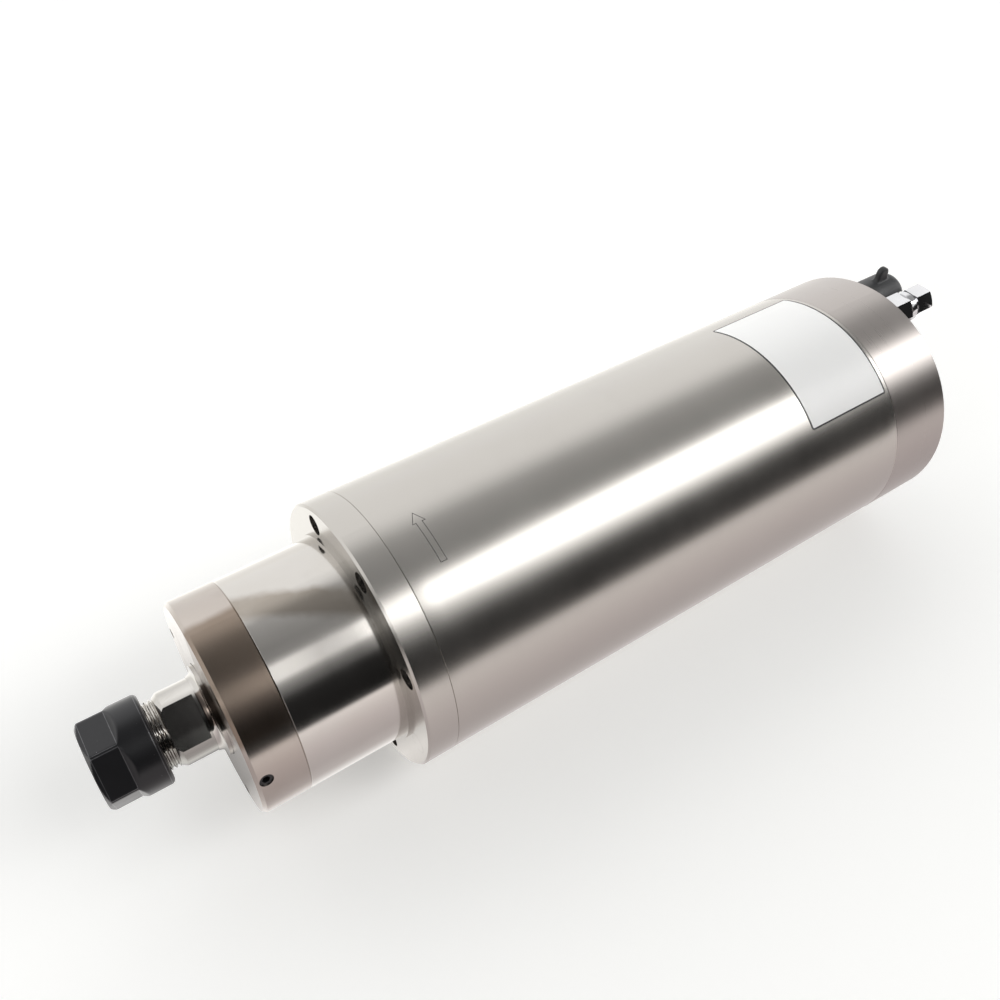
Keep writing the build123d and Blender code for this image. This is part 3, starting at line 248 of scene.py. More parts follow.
def buildWearGroup():
    group, source, sink = newGroup("wornEdge", {"Amount": 1.0, "Scale": 400.0}, {"Mask": "NodeSocketFloat"})
    wear = group.nodes.new("ShaderNodeAttribute")
    wear.attribute_name = "wear"
    coords = group.nodes.new("ShaderNodeTexCoord")
    grain = noiseNode(group, coords.outputs["Object"], source.outputs["Scale"], 4.0, 0.6)
    grain = mathNode(group, "MULTIPLY_ADD", grain, wearPattern["grain"], wearPattern["least"])
    raised = mathNode(group, "MULTIPLY", wear.outputs["Fac"], grain)
    bare = riseNode(group, raised, wearPattern["from"], wearPattern["to"])
    mask = mathNode(group, "MULTIPLY", bare, source.outputs["Amount"], clamp=True)
    group.links.new(mask, sink.inputs["Mask"])
    return group


turnedFinish = buildTurnedGroup()
paintedShadeBand = buildPaintedShadeGroup()
handlingMarks = buildHandlingGroup()
wornEdge = buildWearGroup()

# how strongly rings, the painted shade band, smears and scratches change the metal's colour and gloss
metalMix = {"lineShade": 0.12, "paintedShadeDulls": 0.05, "smearShade": 0.8, "smearDulls": 0.12,
            "scratchColor": (0.86, 0.85, 0.83)}


# turned steel: ringed finish, an optional painted band of dark reflection and shade on one side, smears and
# scratches
def turnedMetal(name, light, dark, finish, paintedShadeZone=None, paintedShadeColor=None, marks=None):
    material, tree, shader = newMaterial(name)
    turned = useGroup(tree, turnedFinish, finish)
    color = mixColor(tree, turned.outputs["Tint"], dark, light)
    shade = mathNode(tree, "MULTIPLY", turned.outputs["Lines"], metalMix["lineShade"])
    color = mixColor(tree, shade, color, dark)
    roughness = turned.outputs["Roughness"]
    # painted shade: the band darkens the colour where dark reflections and shade fall, and dulls the gloss
    # there
    if paintedShadeZone:
        paintedShadeMask = useGroup(tree, paintedShadeBand, paintedShadeZone).outputs["Mask"]
        color = mixColor(tree, paintedShadeMask, color, paintedShadeColor)
        roughness = mathNode(tree, "MULTIPLY_ADD", paintedShadeMask, metalMix["paintedShadeDulls"], roughness)
    if marks:
        handled = useGroup(tree, handlingMarks, marks)
        smeared = tuple(metalMix["smearShade"] * c for c in dark)
        color = mixColor(tree, handled.outputs["Smear"], color, smeared)
        color = mixColor(tree, handled.outputs["Scratch"], color, metalMix["scratchColor"])
        roughness = mathNode(tree, "MULTIPLY_ADD", handled.outputs["Smear"], metalMix["smearDulls"],
                             roughness)
    shader.inputs["Metallic"].default_value = 1.0
    tree.links.new(color, shader.inputs["Base Color"])
    tree.links.new(roughness, shader.inputs["Roughness"])
    tree.links.new(turned.outputs["Normal"], shader.inputs["Normal"])
    return material


plainMix = {"shade": 0.8, "speckScale": 1500.0, "speckFrom": 0.79, "speckTo": 0.83, "wornGloss": -0.08}


# plain finish: two close tones and a gloss that follow one cloud, with a fine grain in the surface,
# and optional worn edges with bare specks
def plain(name, color, metallic, roughness, spread=0.1, scale=60.0, grain=900.0, depth=0.1, worn=None):
    material, tree, shader = newMaterial(name)
    place = tree.nodes.new("ShaderNodeTexCoord").outputs["Object"]
    cloud = noiseNode(tree, place, scale, 4.0)
    fine = noiseNode(tree, place, grain, 3.0)
    tone = mixColor(tree, cloud, tuple(c * plainMix["shade"] for c in color), color)
    rough = mathNode(tree, "MULTIPLY_ADD", centredNode(tree, cloud), spread, roughness)
    if worn:
        mask = useGroup(tree, wornEdge, {"Amount": worn["amount"]}).outputs["Mask"]
        tone = mixColor(tree, mask, tone, worn["color"])
        speck = noiseNode(tree, place, plainMix["speckScale"], 1.0)
        speck = riseNode(tree, speck, plainMix["speckFrom"], plainMix["speckTo"])
        tone = mixColor(tree, speck, tone, worn["color"])
        rough = mathNode(tree, "MULTIPLY_ADD", mask, plainMix["wornGloss"], rough)
    shader.inputs["Metallic"].default_value = metallic
    tree.links.new(tone, shader.inputs["Base Color"])
    tree.links.new(rough, shader.inputs["Roughness"])
    tree.links.new(bumpNode(tree, fine, depth), shader.inputs["Normal"])
    return material


def dress(material, *names):
    for name in names:
        slots = nodes[name].data.materials
        slots.clear()
        slots.append(material)


bodyLook = turnedMetal(
    "satinBody", (0.512, 0.491, 0.458), (0.475, 0.453, 0.423),
    {"Roughness": 0.24, "Lines per metre": 3000.0, "Line depth": 0.06, "Roughness spread": 0.04},
    marks={"Smear": 0.05, "Scratch": 0.05})
# the barrel's band is a painted dark reflection that slants along the barrel
barrelLook = turnedMetal(
    "turnedBarrel", (0.59, 0.57, 0.545), (0.54, 0.512, 0.475),
    {"Roughness": 0.12, "Lines per metre": 2600.0, "Line depth": 0.08, "Cloud scale": 40.0},
    paintedShadeZone={"From": 109.0, "To": 117.0, "Slant": 720.0, "Fade": 8.0, "Break up": 0.9, "Scale": 70.0},
    paintedShadeColor=(0.34, 0.305, 0.265), marks={"Smear": 0.12, "Scratch": 0.2})
# the cap's band is a painted dark reflection, from the top towards the near side
capLook = turnedMetal(
    "turnedCap", (0.485, 0.445, 0.408), (0.425, 0.38, 0.345),
    {"Roughness": 0.19, "Lines per metre": 1800.0, "Line depth": 0.35, "Roughness spread": 0.1},
    paintedShadeZone={"From": 87.5, "To": 146.0, "Fade": 6.0, "Break up": 0.4}, paintedShadeColor=(0.245, 0.196, 0.158),
    marks={"Smear": 0.2, "Scratch": 0.3})
rearLook = turnedMetal(
    "satinRearCap", (0.455, 0.422, 0.402), (0.41, 0.378, 0.356),
    {"Roughness": 0.29, "Lines per metre": 3000.0, "Line depth": 0.1},
    marks={"Smear": 0.02, "Scratch": 0.0})
# the shaft's band is painted shade on its lower near side
shaftLook = turnedMetal(
    "groundShaft", (0.54, 0.525, 0.50), (0.47, 0.45, 0.42),
    {"Roughness": 0.07, "Lines per metre": 4000.0, "Line depth": 0.06, "Cloud scale": 90.0,
     "Cloud depth": 0.03},
    paintedShadeZone={"From": 152.0, "To": 215.0, "Fade": 12.0, "Break up": 0.3}, paintedShadeColor=(0.39, 0.385, 0.36),
    marks={"Smear": 0.2, "Scratch": 0.3})
# the slinger's band is a painted dark reflection, from the top towards the near side
slingerLook = turnedMetal(
    "groundSlinger", (0.54, 0.525, 0.50), (0.47, 0.45, 0.42),
    {"Roughness": 0.1, "Lines per metre": 4000.0, "Line depth": 0.06, "Cloud scale": 90.0},
    paintedShadeZone={"From": 99.0, "To": 146.0, "Fade": 5.0, "Break up": 0.4}, paintedShadeColor=(0.17, 0.14, 0.12),
    marks={"Smear": 0.2, "Scratch": 0.2})
ringLook = turnedMetal(
    "bearingSteel", (0.60, 0.59, 0.58), (0.53, 0.52, 0.51),
    {"Roughness": 0.12, "Lines per metre": 6000.0, "Line depth": 0.08, "Cloud scale": 120.0})
blackLook = plain("blackOxide", (0.017, 0.017, 0.019), 0.3, 0.32, spread=0.12, scale=90.0,
                  worn={"amount": 0.45, "color": (0.22, 0.22, 0.23)})
chromeLook = plain("brightChrome", (0.72, 0.72, 0.73), 1.0, 0.1, spread=0.06, scale=120.0, grain=500.0,
                   depth=0.04)
rubberLook = plain("blackRubber", (0.035, 0.036, 0.038), 0.0, 0.5, spread=0.16, scale=150.0, grain=1400.0,
                   depth=0.3)
brassLook = plain("satinBrass", (0.72, 0.55, 0.28), 1.0, 0.28)
aluminiumLook = plain("turnedAluminium", (0.75, 0.75, 0.76), 1.0, 0.35)
sheetLook = plain("coreSheets", (0.25, 0.25, 0.26), 0.9, 0.45)
copperLook = plain("varnishedCopper", (0.55, 0.24, 0.11), 0.8, 0.3)
resinLook = plain("fabricResin", (0.42, 0.27, 0.13), 0.0, 0.5)
mouldedLook = plain("mouldedResin", (0.03, 0.03, 0.03), 0.0, 0.4)
leadLook = plain("siliconeLead", (0.45, 0.06, 0.04), 0.0, 0.5)
tubeLook = plain("clearBlueTube", (0.12, 0.30, 0.55), 0.0, 0.3)

dress(bodyLook, "outer_jacket", "body_flange")
dress(rearLook, "rear_cap")
dress(barrelLook, "bearing_housing")
dress(capLook, "front_cap")
dress(slingerLook, "slinger_ring")
dress(shaftLook, "spindle_shaft", "spring_collet", "front_locknut", "rear_locknut",
      "inner_spacer", "outer_spacer")
dress(ringLook, "front_inner_rings", "front_outer_rings", "front_balls", "rear_inner_ring",
      "rear_outer_ring", "rear_balls", "preload_springs")
dress(blackLook, "collet_nut", "flange_screws", "rear_cap_screws", "rear_housing_screws", "cover_screws",
      "port_screw", "socket_screws")
dress(chromeLook, "outlet_fitting", "outlet_nut", "inlet_fitting", "inlet_nut", "socket_shell")
dress(rubberLook, "dust_cap", "water_seals", "socket_gasket")
dress(brassLook, "outlet_ferrule", "inlet_ferrule", "socket_pins")
dress(aluminiumLook, "cooling_sleeve", "rear_housing", "bearing_cover", "rotor_cage")
dress(sheetLook, "stator_core", "rotor_core")
dress(copperLook, "stator_windings")
dress(resinLook, "front_cages", "rear_ball_cage")
dress(mouldedLook, "socket_insulator")
dress(leadLook, "motor_leads")
dress(tubeLook, "water_tubes")
print("materials set")


# grid piece: points on a rows x columns grid become four-sided faces that wrap round in columns,
# and in rows too for a ring; rows that shrink to a point are merged, so the poles are closed.
# The volume inside the faces tells whether they point outwards, and they are turned over if not
def gridPiece(name, points, body, material, ringed=True, wear=None, sharp=40.0):
    rows, columns = points.shape[:2]
    index = np.arange(rows * columns).reshape(rows, columns)
    ahead = np.roll(index, -1, 0)
    faces = np.stack([index, np.roll(index, -1, 1), np.roll(ahead, -1, 1), ahead], -1)
    faces = (faces if ringed else faces[:-1]).reshape(-1, 4)
    flat = points.reshape(-1, 3) * mm
    a, b, c, d = (flat[faces[:, k]] for k in range(4))
    volume = (np.cross(a, b) * c).sum() + (np.cross(a, c) * d).sum()
    mesh = bpy.data.meshes.new(name)
    mesh.from_pydata(flat, [], faces if volume > 0 else faces[:, ::-1])
    layer = mesh.attributes.new("wear", "FLOAT", "POINT")
    layer.data.foreach_set("value", np.zeros(len(flat)) if wear is None else wear.ravel().astype(float))
    work = bmesh.new()
    work.from_mesh(mesh)
    bmesh.ops.remove_doubles(work, verts=work.verts, dist=weldReach["grid"])
    work.to_mesh(mesh)
    work.free()
    mesh.shade_smooth()
    mesh.set_sharp_from_angle(angle=math.radians(sharp))
    mesh.materials.append(material)
    piece = bpy.data.objects.new(name, mesh)
    scene.collection.objects.link(piece)
    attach(piece, body)
    return piece


# gaps divided by a step: for each new point, the gap that it is in and how far along that gap it lies
def divideGaps(gaps, step):
    counts = np.maximum(1, np.ceil(gaps / step)).astype(int)
    which = np.repeat(np.arange(len(counts)), counts)
    first = (np.cumsum(counts) - counts)[which]
    share = (np.arange(len(which)) - first) / counts[which]
    return which, share[:, None]


# rounded corners: the share of a side that one may take, the wear along its curve, and how soon a bend
# counts as worn
cornerCut = {"most": 0.4, "wear": [0.0, 0.8, 1.0, 0.8, 0.0], "bendGain": 8}


# outline: every corner (station, radius, distance of the flats) is cut by a short curve, the quadratic curve
# from one side to the other with the corner as its control point, and long runs are divided by the step.
# The last column is 1 on the rounded corners and 0 between them
def softOutline(corners, roundness, step, closed=True):
    here = np.array(corners, float)
    back, ahead = np.roll(here, 1, 0) - here, np.roll(here, -1, 0) - here
    backLength = np.linalg.norm(back[:, :2], axis=1, keepdims=True) + 1e-9
    aheadLength = np.linalg.norm(ahead[:, :2], axis=1, keepdims=True) + 1e-9
    start = here + back / backLength * np.minimum(roundness, cornerCut["most"] * backLength)
    end = here + ahead / aheadLength * np.minimum(roundness, cornerCut["most"] * aheadLength)
    if not closed:
        start[0] = end[0] = here[0]
        start[-1] = end[-1] = here[-1]
    t = np.linspace(0, 1, len(cornerCut["wear"]))[None, :, None]
    curve = (1 - t) ** 2 * start[:, None] + 2 * t * (1 - t) * here[:, None] + t ** 2 * end[:, None]
    bend = 1 + (back[:, :2] / backLength * ahead[:, :2] / aheadLength).sum(1)
    worn = np.clip(bend * cornerCut["bendGain"], 0, 1)[:, None, None]
    knots = np.concatenate([curve, np.array(cornerCut["wear"])[None, :, None] * worn], 2).reshape(-1, 4)
    loop = np.concatenate([knots, knots[:1]]) if closed else knots
    which, share = divideGaps(np.linalg.norm(np.diff(loop[:, :2], axis=0), axis=1), step)
    rows = loop[which] * (1 - share) + loop[which + 1] * share
    return rows if closed else np.concatenate([rows, knots[-1:]])


# points of a turned surface: station along x, radius carried round the axis
def turnedPoints(station, radius, turn):
    station, radius, turn = np.broadcast_arrays(station, radius, np.radians(turn))
    return np.stack([station, radius * np.cos(turn), radius * np.sin(turn)], -1)


# jacket: its outline turned round the axis, sunk by the thickness of the plate that lies on it
jacket = {"front": 12.0, "rear": 231.2, "radius": 52.5, "wall": 3.5, "sink": 0.06, "edge": 0.12,
          "round": 0.08, "rowStep": 6.0, "turnStep": 0.75}


def makeJacket():
    outer, inner = jacket["radius"] - jacket["sink"], jacket["radius"] - jacket["wall"]
    front, rear, edge = jacket["front"], jacket["rear"], jacket["edge"]
    corners = [(front, inner, 0), (front, outer - edge, 0), (front + edge, outer, 0),
               (rear - edge, outer, 0), (rear, outer - edge, 0), (rear, inner, 0)]
    rows = softOutline(corners, jacket["round"], jacket["rowStep"])
    points = turnedPoints(rows[:, :1], rows[:, 1:2], np.arange(0, 360, jacket["turnStep"]))
    piece = gridPiece("polishedJacket", points, "housing", bodyLook)
    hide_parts("outer_jacket")


# foil plate, left bare: rounded rectangle wrapped on the jacket. A point of its edge is the nearest point of
# a smaller rectangle plus the corner radius; rings inside it keep the border's width, then shrink
plate = {"front": 187.0, "rear": 229.5, "from": 64.8, "to": 136.8, "corner": 1.3, "border": 0.7,
         "base": 52.442, "top": 52.492, "sidePoints": 72, "rings": 26, "inkFade": 0.02}
plateLook = {"paper": ((0.95, 0.95, 0.935), (0.985, 0.985, 0.97)),
             "ink": ((0.012, 0.012, 0.012), (0.03, 0.03, 0.03)),
             "fibre": 900.0, "cloud": 70.0, "roughness": 0.3, "spread": 0.14, "grain": 0.08,
             "inkFrom": 0.45, "inkTo": 0.55}


# the wear attribute is 1 on the plate's border and 0 inside it
def makePlateLook():
    material, tree, shader = newMaterial("bareFoilPlate")
    place = tree.nodes.new("ShaderNodeTexCoord").outputs["Object"]
    fibre = noiseNode(tree, place, plateLook["fibre"], 4.0, 0.6)
    cloud = noiseNode(tree, place, plateLook["cloud"], 3.0)
    border = tree.nodes.new("ShaderNodeAttribute")
    border.attribute_name = "wear"
    paper = mixColor(tree, cloud, *plateLook["paper"])
    ink = mixColor(tree, fibre, *plateLook["ink"])
    inked = riseNode(tree, border.outputs["Fac"], plateLook["inkFrom"], plateLook["inkTo"])
    color = mixColor(tree, inked, paper, ink)
    rough = mathNode(tree, "MULTIPLY_ADD", fibre, plateLook["spread"], plateLook["roughness"])
    tree.links.new(color, shader.inputs["Base Color"])
    tree.links.new(rough, shader.inputs["Roughness"])
    tree.links.new(bumpNode(tree, fibre, plateLook["grain"]), shader.inputs["Normal"])
    return material


def makePlate():
    halfLength = (plate["rear"] - plate["front"]) / 2
    halfWidth = math.radians(plate["to"] - plate["from"]) * plate["top"] / 2
    half = np.array([halfLength, halfWidth])
    square = np.array([(-1, -1), (1, -1), (1, 1), (-1, 1)]) * half
    side = np.linspace(0, 1, plate["sidePoints"], endpoint=False)[None, :, None]
    edge = (square[:, None] * (1 - side) + np.roll(square, -1, 0)[:, None] * side).reshape(-1, 2)
    core = np.clip(edge, plate["corner"] - half, half - plate["corner"])
    away = edge - core
    away = away / np.maximum(np.linalg.norm(away, axis=1, keepdims=True), 1e-9)
    inset = np.array([0.0, plate["border"], plate["border"] + plate["inkFade"]])[:, None, None]
    rings = core + away * (plate["corner"] - inset)
    shrink = np.linspace(1, 0, plate["rings"])[1:, None, None]
    flat = np.concatenate([rings, rings[-1:] * shrink])
    flat = np.concatenate([flat[::-1], flat])
    lower = len(flat) // 2
    radius = np.where(np.arange(len(flat)) < lower, plate["base"], plate["top"])[:, None]
    border = np.zeros(len(flat))
    border[[lower - 1, lower, lower + 1]] = 1
    station = flat[..., 0] + (plate["front"] + plate["rear"]) / 2
    turn = np.degrees(flat[..., 1] / plate["top"]) + (plate["from"] + plate["to"]) / 2
    gridPiece("barePlate", turnedPoints(station, radius, turn), "housing", makePlateLook(), False,
              np.broadcast_to(border[:, None], flat.shape[:2]))


# turning arrow, a plain outline etched in the jacket: each corner is moved in and out along its mitre,
# and the thin band between the two outlines lies on the cylinder
arrow = {"outline": [(25.05, 116.4), (25.05, 98.5), (23.8, 98.5), (26.2, 93.6), (28.6, 98.5), (27.4, 98.5),
                     (27.4, 116.4)],
         "line": 0.24, "base": 52.436, "top": 52.452, "step": 1.5}


def makeArrow():
    etchLook = plain("etchedLine", (0.10, 0.095, 0.09), 0.5, 0.55, spread=0.2, scale=700.0)
    corners = np.array(arrow["outline"])
    corners[:, 1] = np.radians(corners[:, 1]) * jacket["radius"]
    ahead = np.roll(corners, -1, 0) - corners
    ahead = ahead / np.linalg.norm(ahead, axis=1, keepdims=True)
    normal = np.stack([-ahead[:, 1], ahead[:, 0]], 1)
    mitre = normal + np.roll(normal, 1, 0)
    mitre = mitre / (mitre * normal).sum(1, keepdims=True)
    line = np.concatenate([corners, mitre], 1)
    loop = np.concatenate([line, line[:1]])
    which, share = divideGaps(np.linalg.norm(np.diff(loop[:, :2], axis=0), axis=1), arrow["step"])
    middle = loop[which, :2] * (1 - share) + loop[which + 1, :2] * share
    offset = np.where(share == 0, loop[which, 2:], normal[which]) * arrow["line"] / 2
    side = np.array([-1.0, 1.0, 1.0, -1.0])[:, None, None]
    flat = middle[None] + side * offset[None]
    radius = np.array([arrow["base"], arrow["base"], arrow["top"], arrow["top"]])[:, None]
    points = turnedPoints(flat[..., 0], radius, np.degrees(flat[..., 1] / jacket["radius"]))
    gridPiece("turningArrow", points, "housing", etchLook)


# blind plugs in the shoulder, where no screw shows: turned discs with a fine chamfer, each moved out to its
# place on the screws' circle, flush with the face
shoulderPlugs = {"turns": (17.5, 197.5), "circle": 45.7, "radius": 3.89, "depth": 1.6, "chamfer": 0.05,
                 "round": 0.02, "rowStep": 1.0, "turnStep": 6.0}


def makeShoulderPlugs():
    radius, depth, chamfer = shoulderPlugs["radius"], shoulderPlugs["depth"], shoulderPlugs["chamfer"]
    corners = [(0, 0, 0), (0, radius - chamfer, 0), (chamfer, radius, 0), (depth, radius, 0), (depth, 0, 0)]
    rows = softOutline(corners, shoulderPlugs["round"], shoulderPlugs["rowStep"], closed=False)
    disc = turnedPoints(rows[:, :1], rows[:, 1:2], np.arange(0, 360, shoulderPlugs["turnStep"]))
    for number, turn in enumerate(np.radians(shoulderPlugs["turns"]), 1):
        points = disc + shoulderPlugs["circle"] * np.array([0, np.cos(turn), np.sin(turn)])
        piece = gridPiece("shoulderPlug" + str(number), points, "housing", bodyLook, False)


makeJacket()
makePlate()
makeArrow()
makeShoulderPlugs()
print("jacket, plate, arrow and shoulder plugs made")


# shaft: radius as a function of station and turn. The outline gives the radius; the thread takes away a
# trapezoid that moves on by one pitch a turn; the two wrench flats limit the radius to half their width over
# the cosine of the angle from the flat's middle. Columns near a flat slide so that one lies on its edge.
# The outline comes in parts: collet socket, thread, the slope behind it, the milled land and the seats
shaft = {"socket": [(-34.8, 0, 0), (-38.0, 6.4, 0), (-64.2, 6.4, 0), (-64.2, 6.846, 0), (-90.409, 10.53, 0),
                    (-90.409, 12.25, 0), (-89.909, 12.5, 0)],
         "slope": [(-71.7, 12.5), (-71.6, 12.565)],
         "milled": [(-71.6, 12.565), (-71.2, 12.824), (-70.8, 13.082), (-70.4, 13.341), (-70.1, 13.52),
                    (-69.95, 13.585), (-69.7, 13.6), (-65.0, 13.6), (-60.1, 13.6)],
         "seats": [(-60.1, 13.6, 0), (-52.8, 13.6, 0), (-52.8, 18, 0), (-34, 18, 0), (-34, 15, 0),
                   (12, 15, 0), (12, 14.5, 0), (210.2, 14.5, 0), (210.2, 12.5, 0), (234.2, 12.5, 0),
                   (235.2, 11.5, 0), (235.2, 0, 0)],
         "round": 0.12, "rowStep": 8.0, "flatTurn": 129.0, "flatHalf": 11.0, "flatSpan": 36.0,
         "flatColumns": 13, "roundColumns": 33, "pitch": 1.5, "threadDepth": 0.85, "crest": 0.16,
         "flank": 0.62, "runOut": 0.5, "rowsPerPitch": 14, "firstRow": 0.1, "sharp": 28.0}


def makeShaft():
    socket = softOutline(shaft["socket"], shaft["round"], shaft["rowStep"], closed=False)[:, :2]
    seats = softOutline(shaft["seats"], shaft["round"], shaft["rowStep"], closed=False)[:, :2]
    slope, milled = np.array(shaft["slope"]), np.array(shaft["milled"])
    threadEnd, threadR = slope[0]
    along = np.arange(socket[-1, 0] + shaft["firstRow"], threadEnd, shaft["pitch"] / shaft["rowsPerPitch"])
    thread = np.stack([along, np.full_like(along, threadR)], 1)
    parts = [socket, thread, slope, milled, seats]
    kind = np.repeat(np.arange(len(parts)), [len(part) for part in parts])[:, None]
    station, radius = np.concatenate(parts).T[..., None]

    # columns: evenly over half a turn, then stretched so that both sides of each flat fall on a column
    half = np.degrees(np.arccos(shaft["flatHalf"] / np.clip(radius, threadR, milled[-1, 1])))
    edge, few, many = shaft["flatSpan"], shaft["flatColumns"], shaft["roundColumns"]
    base = np.concatenate([np.linspace(0, edge, few)[:-1], np.linspace(edge, 180 - edge, many)[:-1],
                           np.linspace(180 - edge, 180, few)[:-1]])
    near = base / edge * half
    middle = half + (base - edge) / (180 - 2 * edge) * (180 - 2 * half)
    far = 180 - (180 - base) / edge * half
    turn = np.where(base <= edge, near, np.where(base < 180 - edge, middle, far))
    turn = np.concatenate([turn, turn + 180], 1)
    away = np.minimum(turn % 180, 180 - turn % 180)
    limit = shaft["flatHalf"] / np.cos(np.radians(np.minimum(away, half)))
    onThread, onFlats = kind == 1, kind == 3  # places in the list of parts
    reach = np.where(onFlats, np.minimum(radius, np.where(away <= half, limit, radius)), radius)

    screw = ((station - threadEnd) / shaft["pitch"] - turn / 360) % 1
    groove = np.clip((np.abs(2 * screw - 1) - shaft["crest"]) / shaft["flank"], 0, 1)
    fade = np.clip((threadEnd - station) / shaft["runOut"], 0, 1)
    reach = reach - np.where(onThread, shaft["threadDepth"] * groove * fade, 0)
    piece = gridPiece("threadedShaft", turnedPoints(station, reach, turn + shaft["flatTurn"]),
                      "shaft", shaftLook, False, sharp=shaft["sharp"])
    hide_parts("spindle_shaft")


# collet nut: the outline turned round, limited by six flats; a flat's distance grows at 45 degrees where its
# cutter ends, and a smooth minimum of the two radii rounds the edges. Wear is high where the two are alike,
# along the flats' end and on rounded corners outside the bore
colletNut = {"corners": [(-97.0, 8.9, 40), (-97.0, 14.26, 14.5), (-95.6, 16.5, 14.5), (-86.8, 16.5, 14.5),
                         (-82.5, 16.5, 18.8), (-82.3, 16.5, 40), (-76.9, 16.5, 40), (-76.03, 16.07, 40),
                         (-75.6, 15.2, 40), (-75.6, 12.6, 40), (-90.709, 12.6, 40), (-90.709, 10.8, 40),
                         (-91.209, 10.8, 40), (-91.209, 9.5, 40), (-92.609, 9.5, 40), (-92.609, 10.8, 40),
                         (-92.909, 10.8, 40), (-95.9, 8.9, 40)],
             "cornerRound": 0.22, "rowStep": 0.36, "cornerTurn": 115.0, "flats": 6, "flatSpan": 27,
             "flatColumns": 37, "cornerColumns": 17, "round": 0.35, "wearWidth": 0.09, "endWidth": 0.18,
             "wornFrom": 12.0, "flatWithin": 14.6, "flatEnd": -86.8}


def makeColletNut():
    rows = softOutline(colletNut["corners"], colletNut["cornerRound"], colletNut["rowStep"])
    station, radius, flat, edge = rows.T[..., None]
    sector, span = 360 / colletNut["flats"], colletNut["flatSpan"]
    one = np.concatenate([np.linspace(-span, span, colletNut["flatColumns"]),
                          np.linspace(span, sector - span, colletNut["cornerColumns"])[1:-1]])
    turn = (np.arange(colletNut["flats"])[:, None] * sector + one[None]).reshape(1, -1)
    away = (turn + sector / 2) % sector - sector / 2
    limit = flat / np.cos(np.radians(away))
    apart = np.abs(limit - radius)
    blend = np.maximum(colletNut["round"] - apart, 0) / colletNut["round"]
    reach = np.minimum(limit, radius) - blend ** 2 * colletNut["round"] / 4
    joints = np.exp(-(apart / colletNut["wearWidth"]) ** 2) * (flat < colletNut["flatWithin"])
    ends = np.exp(-((station - colletNut["flatEnd"]) / colletNut["endWidth"]) ** 2) * (limit < radius)
    wear = np.maximum(joints, ends)
    wear = np.maximum(wear, edge * (radius > colletNut["wornFrom"]))
    points = turnedPoints(station, reach, turn + colletNut["cornerTurn"] + sector / 2)
    piece = gridPiece("hexColletNut", points, "nut", blackLook, wear=wear)
    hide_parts("collet_nut")


makeShaft()
makeColletNut()
print("shaft and collet nut made")

softEdges = {"width": 0.25, "segments": 2, "sharpFrom": 30, "flatWithin": 1}


# softened copy: a CAD node's mesh is merged, its flat faces joined, and its edges bevelled
def softened(node, name, body, material):
    mesh = nodes[node].data.copy()
    mesh.name = name
    work = bmesh.new()
    work.from_mesh(mesh)
    bmesh.ops.remove_doubles(work, verts=work.verts, dist=weldReach["solid"])
    bmesh.ops.dissolve_limit(work, angle_limit=math.radians(softEdges["flatWithin"]),
                             verts=work.verts, edges=work.edges)
    work.to_mesh(mesh)
    work.free()
    mesh.shade_smooth()
    mesh.set_sharp_from_angle(angle=math.radians(softEdges["sharpFrom"]))
    mesh.materials.clear()
    mesh.materials.append(material)
    piece = bpy.data.objects.new(name, mesh)
    scene.collection.objects.link(piece)
    bevel = piece.modifiers.new("softEdges", "BEVEL")
    bevel.width = softEdges["width"] * mm
    bevel.segments = softEdges["segments"]
    bevel.angle_limit = math.radians(softEdges["sharpFrom"])
    bevel.harden_normals = True
    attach(piece, body)
    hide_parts(node)
    return piece


for label, body in (("outlet_fitting", "housing"), ("inlet_fitting", "housing"), ("outlet_nut", "outlet_nut"),
                    ("inlet_nut", "inlet_nut"), ("socket_shell", "housing")):
    softened(label, "soft_" + label, body, chromeLook)


# rubber cap: a voxel copy of the CAD cap, smoothed until its edges look moulded
rubberCap = {"voxel": 0.45, "smoothing": 6, "smoothFactor": 0.5}


def makeRubberCap():
    piece = softened("dust_cap", "rubberDustCap", "dust_cap", rubberLook)
    piece.modifiers.clear()
    voxels = piece.modifiers.new("voxels", "REMESH")
    voxels.mode = "VOXEL"
    voxels.voxel_size = rubberCap["voxel"] * mm
    voxels.use_smooth_shade = True
    smooth = piece.modifiers.new("smooth", "SMOOTH")
    smooth.factor = rubberCap["smoothFactor"]
    smooth.iterations = rubberCap["smoothing"]
    moulded = bpy.data.meshes.new_from_object(piece.evaluated_get(bpy.context.evaluated_depsgraph_get()))
    piece.modifiers.clear()
    piece.data = moulded
    moulded.materials.clear()
    moulded.materials.append(rubberLook)
    moulded.shade_smooth()


makeRubberCap()
print("fittings and rubber cap softened")


# pale bench: near white to the camera. What the metal mirrors of it is the grade, a colour by the distance
# across in metres, as the light falls off towards the near side. Under the nose it lies in the spindle's
# shade, which the shoulder mirrors: the shade by the distance across, where shadeAlong is 1
bench = {"size": 3.0, "level": -0.0525, "color": (0.88, 0.88, 0.865), "roughness": 0.8,
         "glowColor": (1.0, 1.0, 0.985), "glow": 0.25, "brightest": 1.5,
         "grade": {-3.0: (0.03, 0.03, 0.03), -0.7: (0.03, 0.03, 0.03), -0.58: (0.55, 0.52, 0.51),
                   -0.44: (0.98, 0.93, 0.91), -0.32: (0.88, 0.83, 0.82), -0.2: (0.76, 0.71, 0.70),
                   -0.13: (0.66, 0.605, 0.605), -0.052: (0.50, 0.46, 0.46), -0.036: (0.74, 0.71, 0.70),
                   -0.02: (1.05, 1.03, 1.01), 0.15: (1.22, 1.22, 1.19), 0.23: (1.02, 1.01, 0.98),
                   0.4: (0.94, 0.93, 0.91), 3.0: (1.0, 1.0, 0.98)},
         "shade": {-3.0: 1.0, -0.024: 1.0, -0.014: 0.16, 0.045: 0.2, 0.085: 1.0, 3.0: 1.0},
         "shadeAlong": {-3.0: 0.0, -0.10: 0.0, -0.06: 1.0, 0.0: 1.0, 0.03: 0.0, 3.0: 0.0}}


